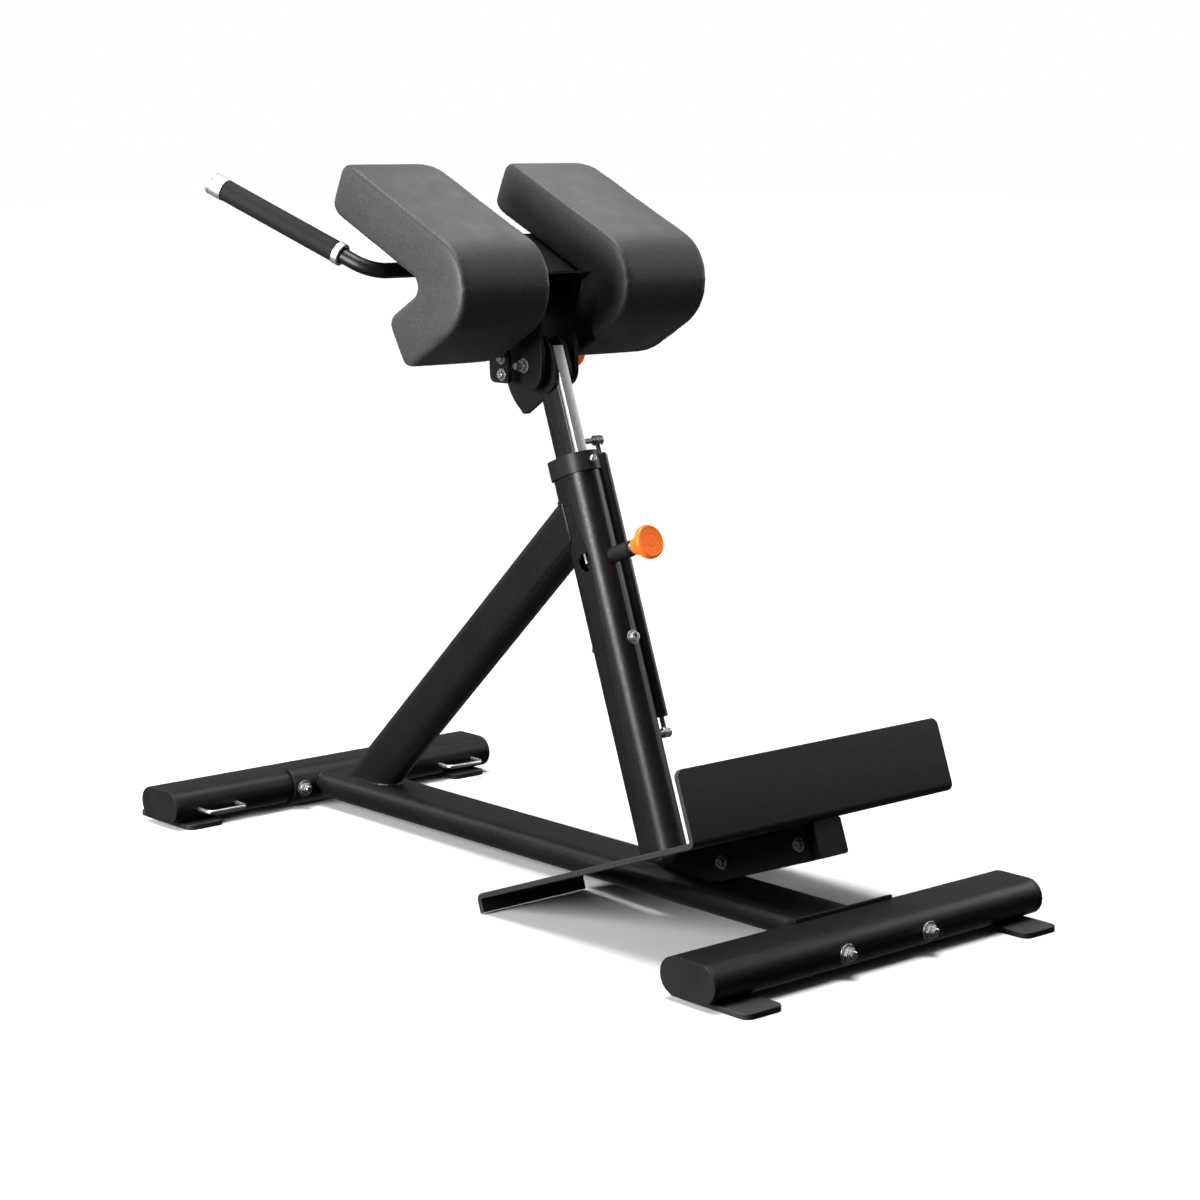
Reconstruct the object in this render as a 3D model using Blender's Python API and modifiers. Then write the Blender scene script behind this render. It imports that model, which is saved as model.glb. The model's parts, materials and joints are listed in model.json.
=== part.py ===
"""A 45 degree back-extension bench (roman chair), in metres, +X forward, +Y left, +Z up.

The origin is on the floor under the middle of the machine.  The mast leans forward, so
the pieces on it are placed by mast_point(along, forward, left): a distance up the mast,
one square to it towards the front, and one to the machine's left.
"""

from math import atan2, cos, pi, radians, sin, tan

import bpy
import bmesh
from mathutils import Matrix, Vector

# Driving dimensions
GAP = 0.0003

BAR_WIDTH = 0.100
BAR_HEIGHT = 0.050
BAR_WALL = 0.003
BAR_Z = 0.0333
REAR_BAR_X = -0.599
FRONT_BAR_X = 0.603
REAR_BAR_LENGTH = 0.618
FRONT_BAR_LENGTH = 0.622
CAP_THICKNESS = 0.006

FLOOR_PLATE_SIZE = (0.145, 0.066, 0.008)
FLOOR_PLATE_X = 0.617
FLOOR_PLATE_Y = 0.261

BASE_WIDTH = 0.098
BASE_HEIGHT = 0.041
SADDLE_THICKNESS = 0.005
SADDLE_LENGTH = 0.182
REAR_BOLT_Y = 0.0775
FRONT_BOLT_Y = 0.075

MAST_LEAN = radians(20.0)
MAST_FOOT = Vector((-0.2235, 0.0, 0.060))
MAST_DEPTH = 0.0775
MAST_WIDTH = 0.0472
MAST_WALL = 0.003
MAST_TOP = 0.581
COLLAR_BOTTOM = 0.557
COLLAR_TOP = 0.5845
GUIDE_BOTTOM = 0.500

BRACE_DEPTH = 0.0796
BRACE_WIDTH = 0.048
BRACE_SLOPE = radians(42.95)
BRACE_POINT = Vector((0.001, 0.0, 0.4821))

SLIDER_WIDTH = 0.020
SLIDER_FRONT = 0.0257
SLIDER_REAR = -0.0180
SLIDER_WALL = 0.0025
SLIDER_BOTTOM = 0.165
SLIDER_TOP = 0.744
RAIL_WIDTH = 0.0188
RAIL_REAR = -0.0253
RAIL_BOTTOM = 0.250

HEIGHT_STEP = 0.028
HEIGHT_POSITIONS = 5
HEIGHT_PIN_ALONG = 0.4305
WINDOW_ALONG = 0.4306
WINDOW_FORWARD = -0.003
WINDOW_RADIUS = 0.014
STOP_BOLT_ALONG = 0.311
STOP_BOLT_RADIUS = 0.005

SPRING_Y = -0.0405
SPRING_FORWARD = -0.0145
SPRING_RADIUS = 0.0095
SPRING_BOTTOM = 0.195
SPRING_TOP = 0.583
ROD_RADIUS = 0.004
ROD_TOP = 0.370
LOWER_STUD_ALONG = 0.172
UPPER_STUD_ALONG = 0.602

PIVOT_ALONG = 0.7265
PIVOT_FORWARD = 0.0155
PIVOT_RADIUS = 0.0055
CHEEK_INNER = 0.028
CHEEK_OUTER = 0.035
TILT_PIN_OFFSET = Vector((0.0675, 0.0, 0.0103))
TILT_STEP = radians(15.0)
TILT_POSITIONS = 3
SECTOR_RADIUS = 0.083
SECTOR_THICKNESS = 0.008

PLATE = 0.008
HEEL_REAR = -0.3397
HEEL_HEIGHT = 0.1016
FOOT_WIDTH = 0.4876
FOOT_LENGTH = 0.4659
FOOT_LEVEL = 0.002
TOE_LIP = 0.019
SLOT_HALF_WIDTH = 0.056
SLOT_REAR = -0.060
ARM_WIDTH = 0.052
ARM_BOTTOM = -0.048
ARM_REAR = -0.333
BRACKET_THICKNESS = 0.006
BRACKET_REAR = -0.320
FOOT_BOLT_RADIUS = 0.005
FOOT_BOLTS = {"foot_bolt_front": -0.1505, "foot_bolt_rear": -0.306}

NOSE_CENTRE = Vector((0.007, 0.0, 0.852))
NOSE_RADIUS = 0.072
UPPER_LIMB = radians(25.0)
LOWER_LIMB = radians(-30.0)
UPPER_OUTER = 0.0735
UPPER_INNER = -0.0024
UPPER_END = 0.2575
LOWER_OUTER = 0.069
LOWER_INNER = -0.0117
LOWER_END = 0.1117
PAD_INNER_Y = 0.070
PAD_OUTER_Y = 0.228
PAD_EDGE = 0.012
PAD_CORNER_STEPS = (12, 3, 3, 6, 3, 3)
YOKE_THICKNESS = 0.005
YOKE_HALF_LENGTH = 0.190

HANDLE_TUBE = 0.011
HANDLE_X = 0.140
HANDLE_Z = 0.8738
HANDLE_ELBOW_Y = 0.2295
HANDLE_BEND = 0.042
HANDLE_DIRECTION = Vector((0.830, 0.365, 0.4225)).normalized()
GRIP_START = 0.0500
GRIP_LENGTH = 0.200
GRIP_RADIUS = 0.0155
RING_LENGTH = 0.011
GRIP_CAP_LENGTH = 0.027

WASHER_RADIUS = 0.0132
BOLT_RADIUS = 0.006
HEAD_RATIO = 1.45

LOOP_RADIUS = 0.0035
LOOP_REACH = 0.030
LOOP_CENTRE_Y = 0.236
LOOP_HALF_LENGTH = 0.034
LOOP_Z = 0.0293
LOOP_BEND = 0.010

PIN_BARREL_LENGTH = 0.044
PIN_BARREL_RADIUS = 0.0115
PIN_SHAFT = 0.0050
PIN_RING = 0.006
KNOB_LENGTH = 0.0335

NOTCHES = (-0.158, -0.205, -0.252)
NOTCH_HALF_LENGTH = 0.0135
NOTCH_DEPTH = 0.0035

X, Y, Z = Vector((1, 0, 0)), Vector((0, 1, 0)), Vector((0, 0, 1))
MAST_UP = Vector((sin(MAST_LEAN), 0, cos(MAST_LEAN)))
MAST_FORWARD = Vector((cos(MAST_LEAN), 0, -sin(MAST_LEAN)))

for old in list(bpy.data.objects):
    bpy.data.objects.remove(old, do_unlink=True)

parts = bpy.data.collections.new("roman_chair")
cutters = bpy.data.collections.new("cutters")
for collection in (parts, cutters):
    bpy.context.scene.collection.children.link(collection)
cutters.hide_render = True


def material(name, colour, roughness, metallic=0.0):
    made = bpy.data.materials.new(name)
    made.use_nodes = True
    shader = made.node_tree.nodes["Principled BSDF"]
    shader.inputs["Base Color"].default_value = (*colour, 1)
    shader.inputs["Roughness"].default_value = roughness
    shader.inputs["Metallic"].default_value = metallic
    made.diffuse_color = (*colour, 1)
    return made


FRAME = material("frame_paint", (0.012, 0.012, 0.013), 0.42)
PLATE_PAINT = material("textured_paint", (0.02, 0.02, 0.021), 0.6)
PLASTIC = material("black_plastic", (0.02, 0.02, 0.02), 0.5)
STEEL = material("zinc_steel", (0.72, 0.72, 0.73), 0.28, 1.0)
ALUMINIUM = material("aluminium", (0.78, 0.78, 0.79), 0.3, 1.0)
ORANGE = material("orange_plastic", (0.9, 0.27, 0.02), 0.4)
VINYL = material("pad_vinyl", (0.03, 0.03, 0.033), 0.55)
RUBBER = material("grip_rubber", (0.012, 0.012, 0.012), 0.7)


# Outlines, as lists of (across, up) points running anticlockwise
def arc(centre, radius, start, end, steps):
    turn = (end - start) / steps
    return [
        (centre[0] + radius * cos(start + turn * i), centre[1] + radius * sin(start + turn * i))
        for i in range(steps + 1)
    ]


def obround(width, height, steps=10):
    """A flat-sided oval: width across, height up, fully round at both ends or sides."""
    radius = min(width, height) / 2
    reach = abs(width - height) / 2
    if width >= height:
        right = arc((reach, 0), radius, -pi / 2, pi / 2, steps)
        return right + arc((-reach, 0), radius, pi / 2, 3 * pi / 2, steps)
    return arc((0, reach), radius, 0, pi, steps) + arc((0, -reach), radius, pi, 2 * pi, steps)


def circle(centre, radius, steps=16):
    return arc(centre, radius, 0, 2 * pi * (steps - 1) / steps, steps - 1)


def rounded(corners, steps=4):
    """A polygon of (across, up, radius) corners, each filleted with its own radius."""
    outline = []
    for i, (x, y, radius) in enumerate(corners):
        here = Vector((x, y))
        before = (Vector(corners[i - 1][:2]) - here).normalized()
        after = (Vector(corners[(i + 1) % len(corners)][:2]) - here).normalized()
        if radius == 0:
            outline.append((x, y))
            continue
        half = before.angle(after) / 2
        centre = here + (before + after).normalized() * (radius / sin(half))
        first = here + before * (radius / tan(half)) - centre
        last = here + after * (radius / tan(half)) - centre
        start = atan2(first.y, first.x)
        sweep = (atan2(last.y, last.x) - start + pi) % (2 * pi) - pi
        outline += arc(centre, radius, start, start + sweep, steps)
    return outline


def rectangle(left, bottom, right, top, radius=0.0, steps=4):
    corners = [(left, bottom), (right, bottom), (right, top), (left, top)]
    return rounded([(x, y, radius) for x, y in corners], steps)


# Solids
def placed(origin, across, up):
    """The matrix that lays an outline's own x and y along two directions from origin."""
    through = across.cross(up)
    rows = zip(across, up, through, origin)
    return Matrix([list(row) for row in rows] + [[0, 0, 0, 1]])


def finish(name, mesh, matrix, paint, collection=parts):
    mesh.name = name
    mesh.materials.clear()
    mesh.materials.append(paint)
    mesh.shade_smooth()
    mesh.set_sharp_from_angle(angle=radians(32))
    made = bpy.data.objects.new(name, mesh)
    made.matrix_world = matrix
    collection.objects.link(made)
    return made


def frozen(source):
    """The evaluated mesh of a curve or a screw, with its loose caps and axis points welded."""
    graph = bpy.context.evaluated_depsgraph_get()
    mesh = bpy.data.meshes.new_from_object(source.evaluated_get(graph))
    bpy.data.objects.remove(source, do_unlink=True)
    shape = bmesh.new()
    shape.from_mesh(mesh)
    bmesh.ops.remove_doubles(shape, verts=shape.verts, dist=1e-6)
    bmesh.ops.recalc_face_normals(shape, faces=shape.faces)
    shape.to_mesh(mesh)
    shape.free()
    return mesh


def prism(name, outlines, low, high, matrix, paint, collection=parts):
    """The first outline, less any others inside it, drawn out from low to high."""
    curve = bpy.data.curves.new(name, "CURVE")
    curve.dimensions = "2D"
    curve.fill_mode = "BOTH"
    curve.extrude = (high - low) / 2
    for outline in outlines:
        spline = curve.splines.new("POLY")
        spline.points.add(len(outline) - 1)
        for point, (x, y) in zip(spline.points, outline):
            point.co = (x, y, 0, 1)
        spline.use_cyclic_u = True
    source = bpy.data.objects.new(name, curve)
    parts.objects.link(source)
    mesh = frozen(source)
    middle = Matrix.Translation((0, 0, (high + low) / 2))
    return finish(name, mesh, matrix @ middle, paint, collection)


def turned(name, profile, matrix, paint, steps=14, collection=parts):
    """A profile of (radius, height) points, from the top down, turned about its own Z."""
    mesh = bpy.data.meshes.new(name)
    edges = [(i, i + 1) for i in range(len(profile) - 1)]
    mesh.from_pydata([(radius, 0, height) for radius, height in profile], edges, [])
    source = bpy.data.objects.new(name, mesh)
    parts.objects.link(source)
    screw = source.modifiers.new("Screw", "SCREW")
    screw.steps = screw.render_steps = steps
    screw.use_merge_vertices = True
    screw.merge_threshold = 1e-5
    return finish(name, frozen(source), matrix, paint, collection)


def swept(name, route, radius, paint, sides=3):
    """A round tube along a list of points."""
    curve = bpy.data.curves.new(name, "CURVE")
    curve.dimensions = "3D"
    curve.bevel_depth = radius
    curve.bevel_resolution = sides
    curve.use_fill_caps = True
    spline = curve.splines.new("POLY")
    spline.points.add(len(route) - 1)
    for point, place in zip(spline.points, route):
        point.co = (*place, 1)
    source = bpy.data.objects.new(name, curve)
    parts.objects.link(source)
    return finish(name, frozen(source), Matrix(), paint)


def boolean(target, tool, operation="DIFFERENCE"):
    if tool.name in parts.objects:
        parts.objects.unlink(tool)
        cutters.objects.link(tool)
    tool.hide_render = True
    tool.display_type = "WIRE"
    modifier = target.modifiers.new(tool.name, "BOOLEAN")
    modifier.operation = operation
    modifier.solver = "EXACT"
    modifier.object = tool


def along_axis(origin, direction):
    """The matrix that turns a turned shape's own Z to a direction."""
    return Matrix.Translation(origin) @ direction.to_track_quat("Z", "Y").to_matrix().to_4x4()


def drill(targets, origin, direction, radius, length, name="drill"):
    """A round hole through each target, from origin along a direction."""
    tool = turned(name, [(0, length), (radius, length), (radius, 0), (0, 0)], along_axis(origin, direction),
                  PLASTIC, steps=14, collection=cutters)
    for target in targets:
        boolean(target, tool)


def fastener(name, origin, direction, grip, radius=BOLT_RADIUS, washer=WASHER_RADIUS, tail=0.006):
    """A bolt with both washers and its nut.  Its head stands on origin, and grip is what it holds."""
    head, thin, height = radius * HEAD_RATIO, radius * 0.35, radius * 1.15
    profile = [
        (0, thin + height), (head * 0.7, thin + height), (head, thin + height * 0.6), (head, thin),
        (washer, thin), (washer, 0), (radius, 0), (radius, -grip), (washer, -grip), (washer, -grip - thin),
        (head, -grip - thin), (head, -grip - thin - height), (radius, -grip - thin - height),
        (radius, -grip - thin - height - tail), (0, -grip - thin - height - tail),
    ]
    return turned(name, profile, along_axis(origin, direction), STEEL, steps=12)


def mast_point(along, forward=0.0, left=0.0):
    return MAST_FOOT + MAST_UP * along + MAST_FORWARD * forward + Y * left


def mast_section(along=0.0):
    """Outlines across the mast: their x is forward, their y is left, and they rise along it."""
    return placed(mast_point(along), MAST_FORWARD, Y)


def side_view(left=0.0):
    """Outlines drawn on the machine's X and Z, at a distance to its left."""
    return placed(Y * left, X, Z)


def mast_side(left=0.0):
    """Outlines drawn on the mast's forward and along directions."""
    return placed(mast_point(0, 0, left), MAST_FORWARD, MAST_UP)


def box(name, low, high):
    outline = rectangle(low[0], low[1], high[0], high[1])
    return prism(name, [outline], low[2], high[2], Matrix(), PLASTIC, collection=cutters)


# Floor frame
def floor_bar(name, x, length, bolt_y):
    half = length / 2 - CAP_THICKNESS - GAP
    outer = obround(BAR_WIDTH, BAR_HEIGHT)
    bore = obround(BAR_WIDTH - 2 * BAR_WALL, BAR_HEIGHT - 2 * BAR_WALL)
    bar = prism(name, [outer, bore], -half, half, placed(Vector((x, 0, BAR_Z)), X, Z), FRAME)
    for side in (1, -1):
        start = Vector((x - 0.07, side * bolt_y, BAR_Z))
        drill([bar], start, X, BOLT_RADIUS + GAP, 0.14, f"{name}_drill")
    return bar


def bar_cap(name, x, side, length):
    """An end cap: a face as large as the bar and a plug that fits its bore."""
    end = length / 2
    across = placed(Vector((x, side * end, BAR_Z)), X * side, Z)
    face = prism(name, [obround(BAR_WIDTH, BAR_HEIGHT)], 0, CAP_THICKNESS, across, PLASTIC)
    margin = 2 * (BAR_WALL + GAP)
    plug = prism(f"{name}_plug", [obround(BAR_WIDTH - margin, BAR_HEIGHT - margin)],
                 CAP_THICKNESS / 2, CAP_THICKNESS + 0.014, across, PLASTIC, cutters)
    boolean(face, plug, "UNION")


def floor_plate(name, x, y):
    length, width, height = FLOOR_PLATE_SIZE
    outline = rectangle(-length / 2, -width / 2, length / 2, width / 2, 0.012)
    prism(name, [outline], 0, height, placed(Vector((x, y, 0)), X, Y), PLATE_PAINT)


def saddle(name, x, facing, bolt_y):
    """A curved plate round one side of a floor bar.  facing is +1 on the front, -1 on the rear."""
    inside = BAR_HEIGHT / 2 + GAP
    outside = inside + SADDLE_THICKNESS
    reach = radians(84)
    middle = 0 if facing > 0 else pi
    outline = arc((0, 0), outside, middle - reach, middle + reach, 16)
    outline += arc((0, 0), inside, middle + reach, middle - reach, 16)
    centre = Vector((x + facing * (BAR_WIDTH - BAR_HEIGHT) / 2, 0, BAR_Z))
    plate = prism(name, [outline], -SADDLE_LENGTH / 2, SADDLE_LENGTH / 2, placed(centre, X, Z), FRAME, cutters)
    for side in (1, -1):
        start = Vector((x, side * bolt_y, BAR_Z))
        drill([plate], start, X * facing, BOLT_RADIUS + GAP, BAR_WIDTH, f"{name}_drill")
    return plate


def base_frame():
    """The long base tube with the saddle welded to each of its ends."""
    rear = REAR_BAR_X + (BAR_WIDTH - BAR_HEIGHT) / 2
    front = FRONT_BAR_X - (BAR_WIDTH - BAR_HEIGHT) / 2
    outer = obround(BASE_WIDTH, BASE_HEIGHT)
    bore = obround(BASE_WIDTH - 2 * BAR_WALL, BASE_HEIGHT - 2 * BAR_WALL)
    tube = prism("base_tube", [outer, bore], rear, front, placed(Z * BAR_Z, Y, Z), FRAME)
    weld = BAR_HEIGHT / 2 + GAP + SADDLE_THICKNESS / 2
    for name, x in (("rear_cope", rear), ("front_cope", front)):
        start = Vector((x, -SADDLE_LENGTH, BAR_Z))
        cope = turned(name, [(0, 2 * SADDLE_LENGTH), (weld, 2 * SADDLE_LENGTH), (weld, 0), (0, 0)],
                      along_axis(start, Y), PLASTIC, steps=32, collection=cutters)
        boolean(tube, cope)
    boolean(tube, saddle("rear_saddle", REAR_BAR_X, 1, REAR_BOLT_Y), "UNION")
    boolean(tube, saddle("front_saddle", FRONT_BAR_X, -1, FRONT_BOLT_Y), "UNION")
    for x in (rear + 0.08, front - 0.08):
        drill([tube], Vector((x, 0, BAR_Z)), -Z, 0.005, 0.05, "drain_hole")


def floor_frame():
    floor_bar("rear_floor_bar", REAR_BAR_X, REAR_BAR_LENGTH, REAR_BOLT_Y)
    floor_bar("front_floor_bar", FRONT_BAR_X, FRONT_BAR_LENGTH, FRONT_BOLT_Y)
    base_frame()
    grip = BAR_WIDTH + SADDLE_THICKNESS + 3 * GAP
    for word, side in (("left", 1), ("right", -1)):
        bar_cap(f"rear_cap_{word}", REAR_BAR_X, side, REAR_BAR_LENGTH)
        bar_cap(f"front_cap_{word}", FRONT_BAR_X, side, FRONT_BAR_LENGTH)
        floor_plate(f"rear_floor_plate_{word}", -FLOOR_PLATE_X, side * FLOOR_PLATE_Y)
        floor_plate(f"front_floor_plate_{word}", FLOOR_PLATE_X, side * FLOOR_PLATE_Y)
        head = Vector((REAR_BAR_X - BAR_WIDTH / 2 + grip - GAP, side * REAR_BOLT_Y, BAR_Z))
        fastener(f"rear_bar_bolt_{word}", head, X, grip)
        head = Vector((FRONT_BAR_X + BAR_WIDTH / 2 + GAP, side * FRONT_BOLT_Y, BAR_Z))
        fastener(f"front_bar_bolt_{word}", head, X, grip)
        band_loop(f"band_loop_{word}", side)


def band_loop(name, side):
    """A bent rod on the rear face of the front bar, for a resistance band."""
    wall = FRONT_BAR_X - BAR_WIDTH / 2 - 0.0006
    tip = wall - LOOP_REACH
    bend = LOOP_BEND
    near, far = LOOP_CENTRE_Y - LOOP_HALF_LENGTH, LOOP_CENTRE_Y + LOOP_HALF_LENGTH
    flat = [(wall, near)]
    flat += arc((tip + bend, near + bend), bend, 3 * pi / 2, pi, 4)
    flat += arc((tip + bend, far - bend), bend, pi, pi / 2, 4)
    flat += [(wall, far)]
    swept(name, [(x, side * y, LOOP_Z) for x, y in flat], LOOP_RADIUS, STEEL, sides=2)


# Mast, brace and what guides the sliding post
def mast_outer(name, grow, low, high, collection=cutters):
    outline = obround(MAST_DEPTH + 2 * grow, MAST_WIDTH + 2 * grow)
    return prism(name, [outline], low, high, mast_section(), PLASTIC, collection)


def outer_mast():
    outer = obround(MAST_DEPTH, MAST_WIDTH)
    bore = obround(MAST_DEPTH - 2 * MAST_WALL, MAST_WIDTH - 2 * MAST_WALL)
    mast = prism("outer_mast", [outer, bore], -0.05, MAST_TOP, mast_section(), FRAME)
    top = BAR_Z + BASE_HEIGHT / 2 + GAP
    boolean(mast, box("mast_foot_cut", (-0.5, -0.1, -0.2), (0.1, 0.1, top)))
    drill([mast], mast_point(WINDOW_ALONG, WINDOW_FORWARD, 0), Y, WINDOW_RADIUS, 0.05, "window")
    drill([mast], mast_point(HEIGHT_PIN_ALONG, 0, 0), -MAST_FORWARD, 0.0068, 0.08, "pin_hole")
    drill([mast], mast_point(STOP_BOLT_ALONG, -0.06, 0), MAST_FORWARD, STOP_BOLT_RADIUS + GAP, 0.12,
          "stop_hole")
    drill([mast], mast_point(LOWER_STUD_ALONG, SPRING_FORWARD, 0), -Y, 0.0043, 0.05, "stud_hole")
    return mast


def brace():
    axis = Vector((cos(BRACE_SLOPE), 0, -sin(BRACE_SLOPE)))
    rise = Vector((sin(BRACE_SLOPE), 0, cos(BRACE_SLOPE)))
    outer = obround(BRACE_DEPTH, BRACE_WIDTH)
    bore = obround(BRACE_DEPTH - 2 * MAST_WALL, BRACE_WIDTH - 2 * MAST_WALL)
    tube = prism("brace", [outer, bore], -0.12, 0.75, placed(BRACE_POINT, rise, -Y), FRAME)
    boolean(tube, mast_outer("brace_mast_cope", GAP, 0.2, 0.8))
    behind = rectangle(-0.30, 0.0, 0.0, 0.80)
    boolean(tube, prism("brace_rear_cut", [behind], -0.1, 0.1, mast_side(), PLASTIC, cutters))
    top = BAR_Z + BASE_HEIGHT / 2 + GAP
    boolean(tube, box("brace_foot_cut", (0.1, -0.1, -0.3), (0.9, 0.1, top)))


def collar():
    """A band round the mast's top, moulded with the sleeve inside it that guides the sliding post."""
    section = mast_section()
    outline = obround(MAST_DEPTH + 0.007, MAST_WIDTH + 0.007)
    band = prism("mast_collar", [outline], COLLAR_BOTTOM, COLLAR_TOP, section, PLASTIC)
    inside = obround(MAST_DEPTH + 2 * GAP, MAST_WIDTH + 2 * GAP)
    boolean(band, prism("collar_bore", [inside], COLLAR_BOTTOM - 0.01, MAST_TOP + GAP, section, PLASTIC, cutters))
    margin = 2 * (MAST_WALL + GAP)
    sleeve = obround(MAST_DEPTH - margin, MAST_WIDTH - margin)
    guide = prism("guide_sleeve", [sleeve], GUIDE_BOTTOM, MAST_TOP + 0.002, section, PLASTIC, cutters)
    boolean(band, guide, "UNION")
    half = SLIDER_WIDTH / 2 + 0.0005
    opening = rectangle(RAIL_REAR - 0.0005, -half, SLIDER_FRONT + 0.0005, half)
    mouth = prism("collar_mouth", [opening], GUIDE_BOTTOM - 0.01, COLLAR_TOP + 0.01, section, PLASTIC, cutters)
    boolean(band, mouth)
    middle = (COLLAR_BOTTOM + COLLAR_TOP) / 2
    drill([band], mast_point(middle, 0, 0), -MAST_FORWARD, 0.0034, 0.08, "collar_drill")
    face = mast_point(middle, -(MAST_DEPTH / 2 + 0.0035 + GAP), 0)
    profile = [(0, 0.004), (0.0045, 0.004), (0.006, 0.002), (0.006, 0), (0.003, 0), (0.003, -0.0032), (0, -0.0032)]
    turned("collar_screw", profile, along_axis(face, -MAST_FORWARD), STEEL, steps=12)


def stop_bolt():
    face = MAST_DEPTH / 2 + GAP
    fastener("stop_bolt", mast_point(STOP_BOLT_ALONG, -face, 0), -MAST_FORWARD, 2 * face,
             radius=STOP_BOLT_RADIUS, washer=0.0105, tail=0.004)


# The sliding post
def stop_slot(name):
    travel = HEIGHT_STEP * (HEIGHT_POSITIONS - 1)
    half = STOP_BOLT_RADIUS + 0.0006
    outline = [(left, along) for along, left in obround(travel + 2 * half, 2 * half)]
    middle = mast_point(STOP_BOLT_ALONG - travel / 2)
    return prism(name, [outline], -0.06, 0.06, placed(middle, Y, MAST_UP), PLASTIC, cutters)


def sliding_post():
    outer = rectangle(SLIDER_REAR, -SLIDER_WIDTH / 2, SLIDER_FRONT, SLIDER_WIDTH / 2, 0.003, 3)
    wall = SLIDER_WALL
    bore = rectangle(SLIDER_REAR + wall, -SLIDER_WIDTH / 2 + wall, SLIDER_FRONT - wall, SLIDER_WIDTH / 2 - wall)
    post = prism("inner_mast", [outer, bore], SLIDER_BOTTOM, SLIDER_TOP, mast_section(), FRAME)
    half = RAIL_WIDTH / 2
    shape = rectangle(RAIL_REAR, -half, SLIDER_REAR - GAP, half, 0.001, 2)
    rail = prism("mast_rail", [shape], RAIL_BOTTOM, SLIDER_TOP - 0.001, mast_section(), ALUMINIUM)
    slot = stop_slot("stop_slot")
    boolean(post, slot)
    boolean(rail, slot)
    for step in range(HEIGHT_POSITIONS):
        start = mast_point(HEIGHT_PIN_ALONG - step * HEIGHT_STEP, 0, 0)
        drill([post, rail], start, -MAST_FORWARD, 0.0058, 0.05, f"height_hole_{step + 1}")
    drill([post], mast_point(PIVOT_ALONG, PIVOT_FORWARD, -0.03), Y, PIVOT_RADIUS + GAP, 0.06, "post_pivot_hole")


def head_plates():
    """The two round-ended plates that carry the pivot on the sliding post."""
    low = SLIDER_WIDTH / 2 + GAP
    corners = [(RAIL_REAR, 0.682, 0.024), (SLIDER_FRONT, 0.682, 0.024), (0.034, 0.742, 0.008),
               (0.020, 0.762, 0.008), (-0.016, 0.762, 0.008), (RAIL_REAR, 0.742, 0.008)]
    hole = circle((PIVOT_FORWARD, PIVOT_ALONG), PIVOT_RADIUS + GAP)
    for word, side in (("left", 1), ("right", -1)):
        span = sorted((-side * low, -side * (low + 0.006)))
        prism(f"head_plate_{word}", [rounded(corners), hole], span[0], span[1], mast_side(), FRAME)


def sector():
    """The centre plate with the tilt holes, on the front of the sliding post."""
    pivot = Vector((PIVOT_FORWARD, PIVOT_ALONG))
    front = SLIDER_FRONT + GAP
    lean = MAST_LEAN
    first = atan2(TILT_PIN_OFFSET.z, TILT_PIN_OFFSET.x) + lean
    start, end = radians(-37), first + radians(14)
    rim = arc(pivot, SECTOR_RADIUS, start, end, 14)
    chin = [(front, 0.6805), (0.068, 0.6705), (0.074, 0.6693), (0.0785, 0.6706), (0.0812, 0.6735)]
    outline = chin + rim + [(front, rim[-1][1])]
    holes = []
    reach = Vector((TILT_PIN_OFFSET.x, TILT_PIN_OFFSET.z)).length
    for step in range(TILT_POSITIONS):
        angle = first - step * TILT_STEP
        holes.append(circle((pivot.x + reach * cos(angle), pivot.y + reach * sin(angle)), 0.0057, 12))
    half = SECTOR_THICKNESS / 2
    prism("sector_plate", [outline] + holes, -half, half, mast_side(), FRAME)


# Gas spring
def gas_spring():
    axis = mast_point(0, SPRING_FORWARD, SPRING_Y)
    bore = ROD_RADIUS + 0.0006
    profile = [
        (0, SPRING_TOP), (0.0075, SPRING_TOP), (SPRING_RADIUS, SPRING_TOP - 0.004),
        (SPRING_RADIUS, SPRING_BOTTOM), (bore, SPRING_BOTTOM), (bore, ROD_TOP + 0.004), (0, ROD_TOP + 0.004),
    ]
    turned("spring_cylinder", profile, along_axis(axis, MAST_UP), FRAME, steps=16)
    rod = [(0, ROD_TOP), (ROD_RADIUS, ROD_TOP), (ROD_RADIUS, LOWER_STUD_ALONG), (0, LOWER_STUD_ALONG)]
    shaft = turned("spring_rod", rod, along_axis(axis, MAST_UP), STEEL, steps=12)
    stud(shaft, "spring_rod_eye", LOWER_STUD_ALONG, SPRING_FORWARD, SPRING_Y, -MAST_WIDTH / 2 + 0.0025)
    base = mast_point(UPPER_STUD_ALONG, SPRING_FORWARD, SPRING_Y)
    foot = SPRING_TOP + GAP - UPPER_STUD_ALONG
    top = turned("spring_top_stud", [(0, 0), (0.004, 0), (0.004, foot), (0, foot)],
                 along_axis(base, MAST_UP), STEEL, steps=12)
    stud(top, "spring_top_eye", UPPER_STUD_ALONG, SPRING_FORWARD, SPRING_Y, -SLIDER_WIDTH / 2 - GAP)


def stud(target, name, along, forward, left, inner):
    """A ball-ended stud across the spring's axis, from its outer end in to the post or the mast."""
    outer = left - 0.0085
    profile = [(0, inner - outer), (0.004, inner - outer), (0.004, 0.0145), (0.0075, 0.0145),
               (0.0075, 0.002), (0.0055, 0), (0, 0)]
    axis = along_axis(mast_point(along, forward, outer), Y)
    boolean(target, turned(name, profile, axis, STEEL, steps=12, collection=cutters), "UNION")


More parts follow.
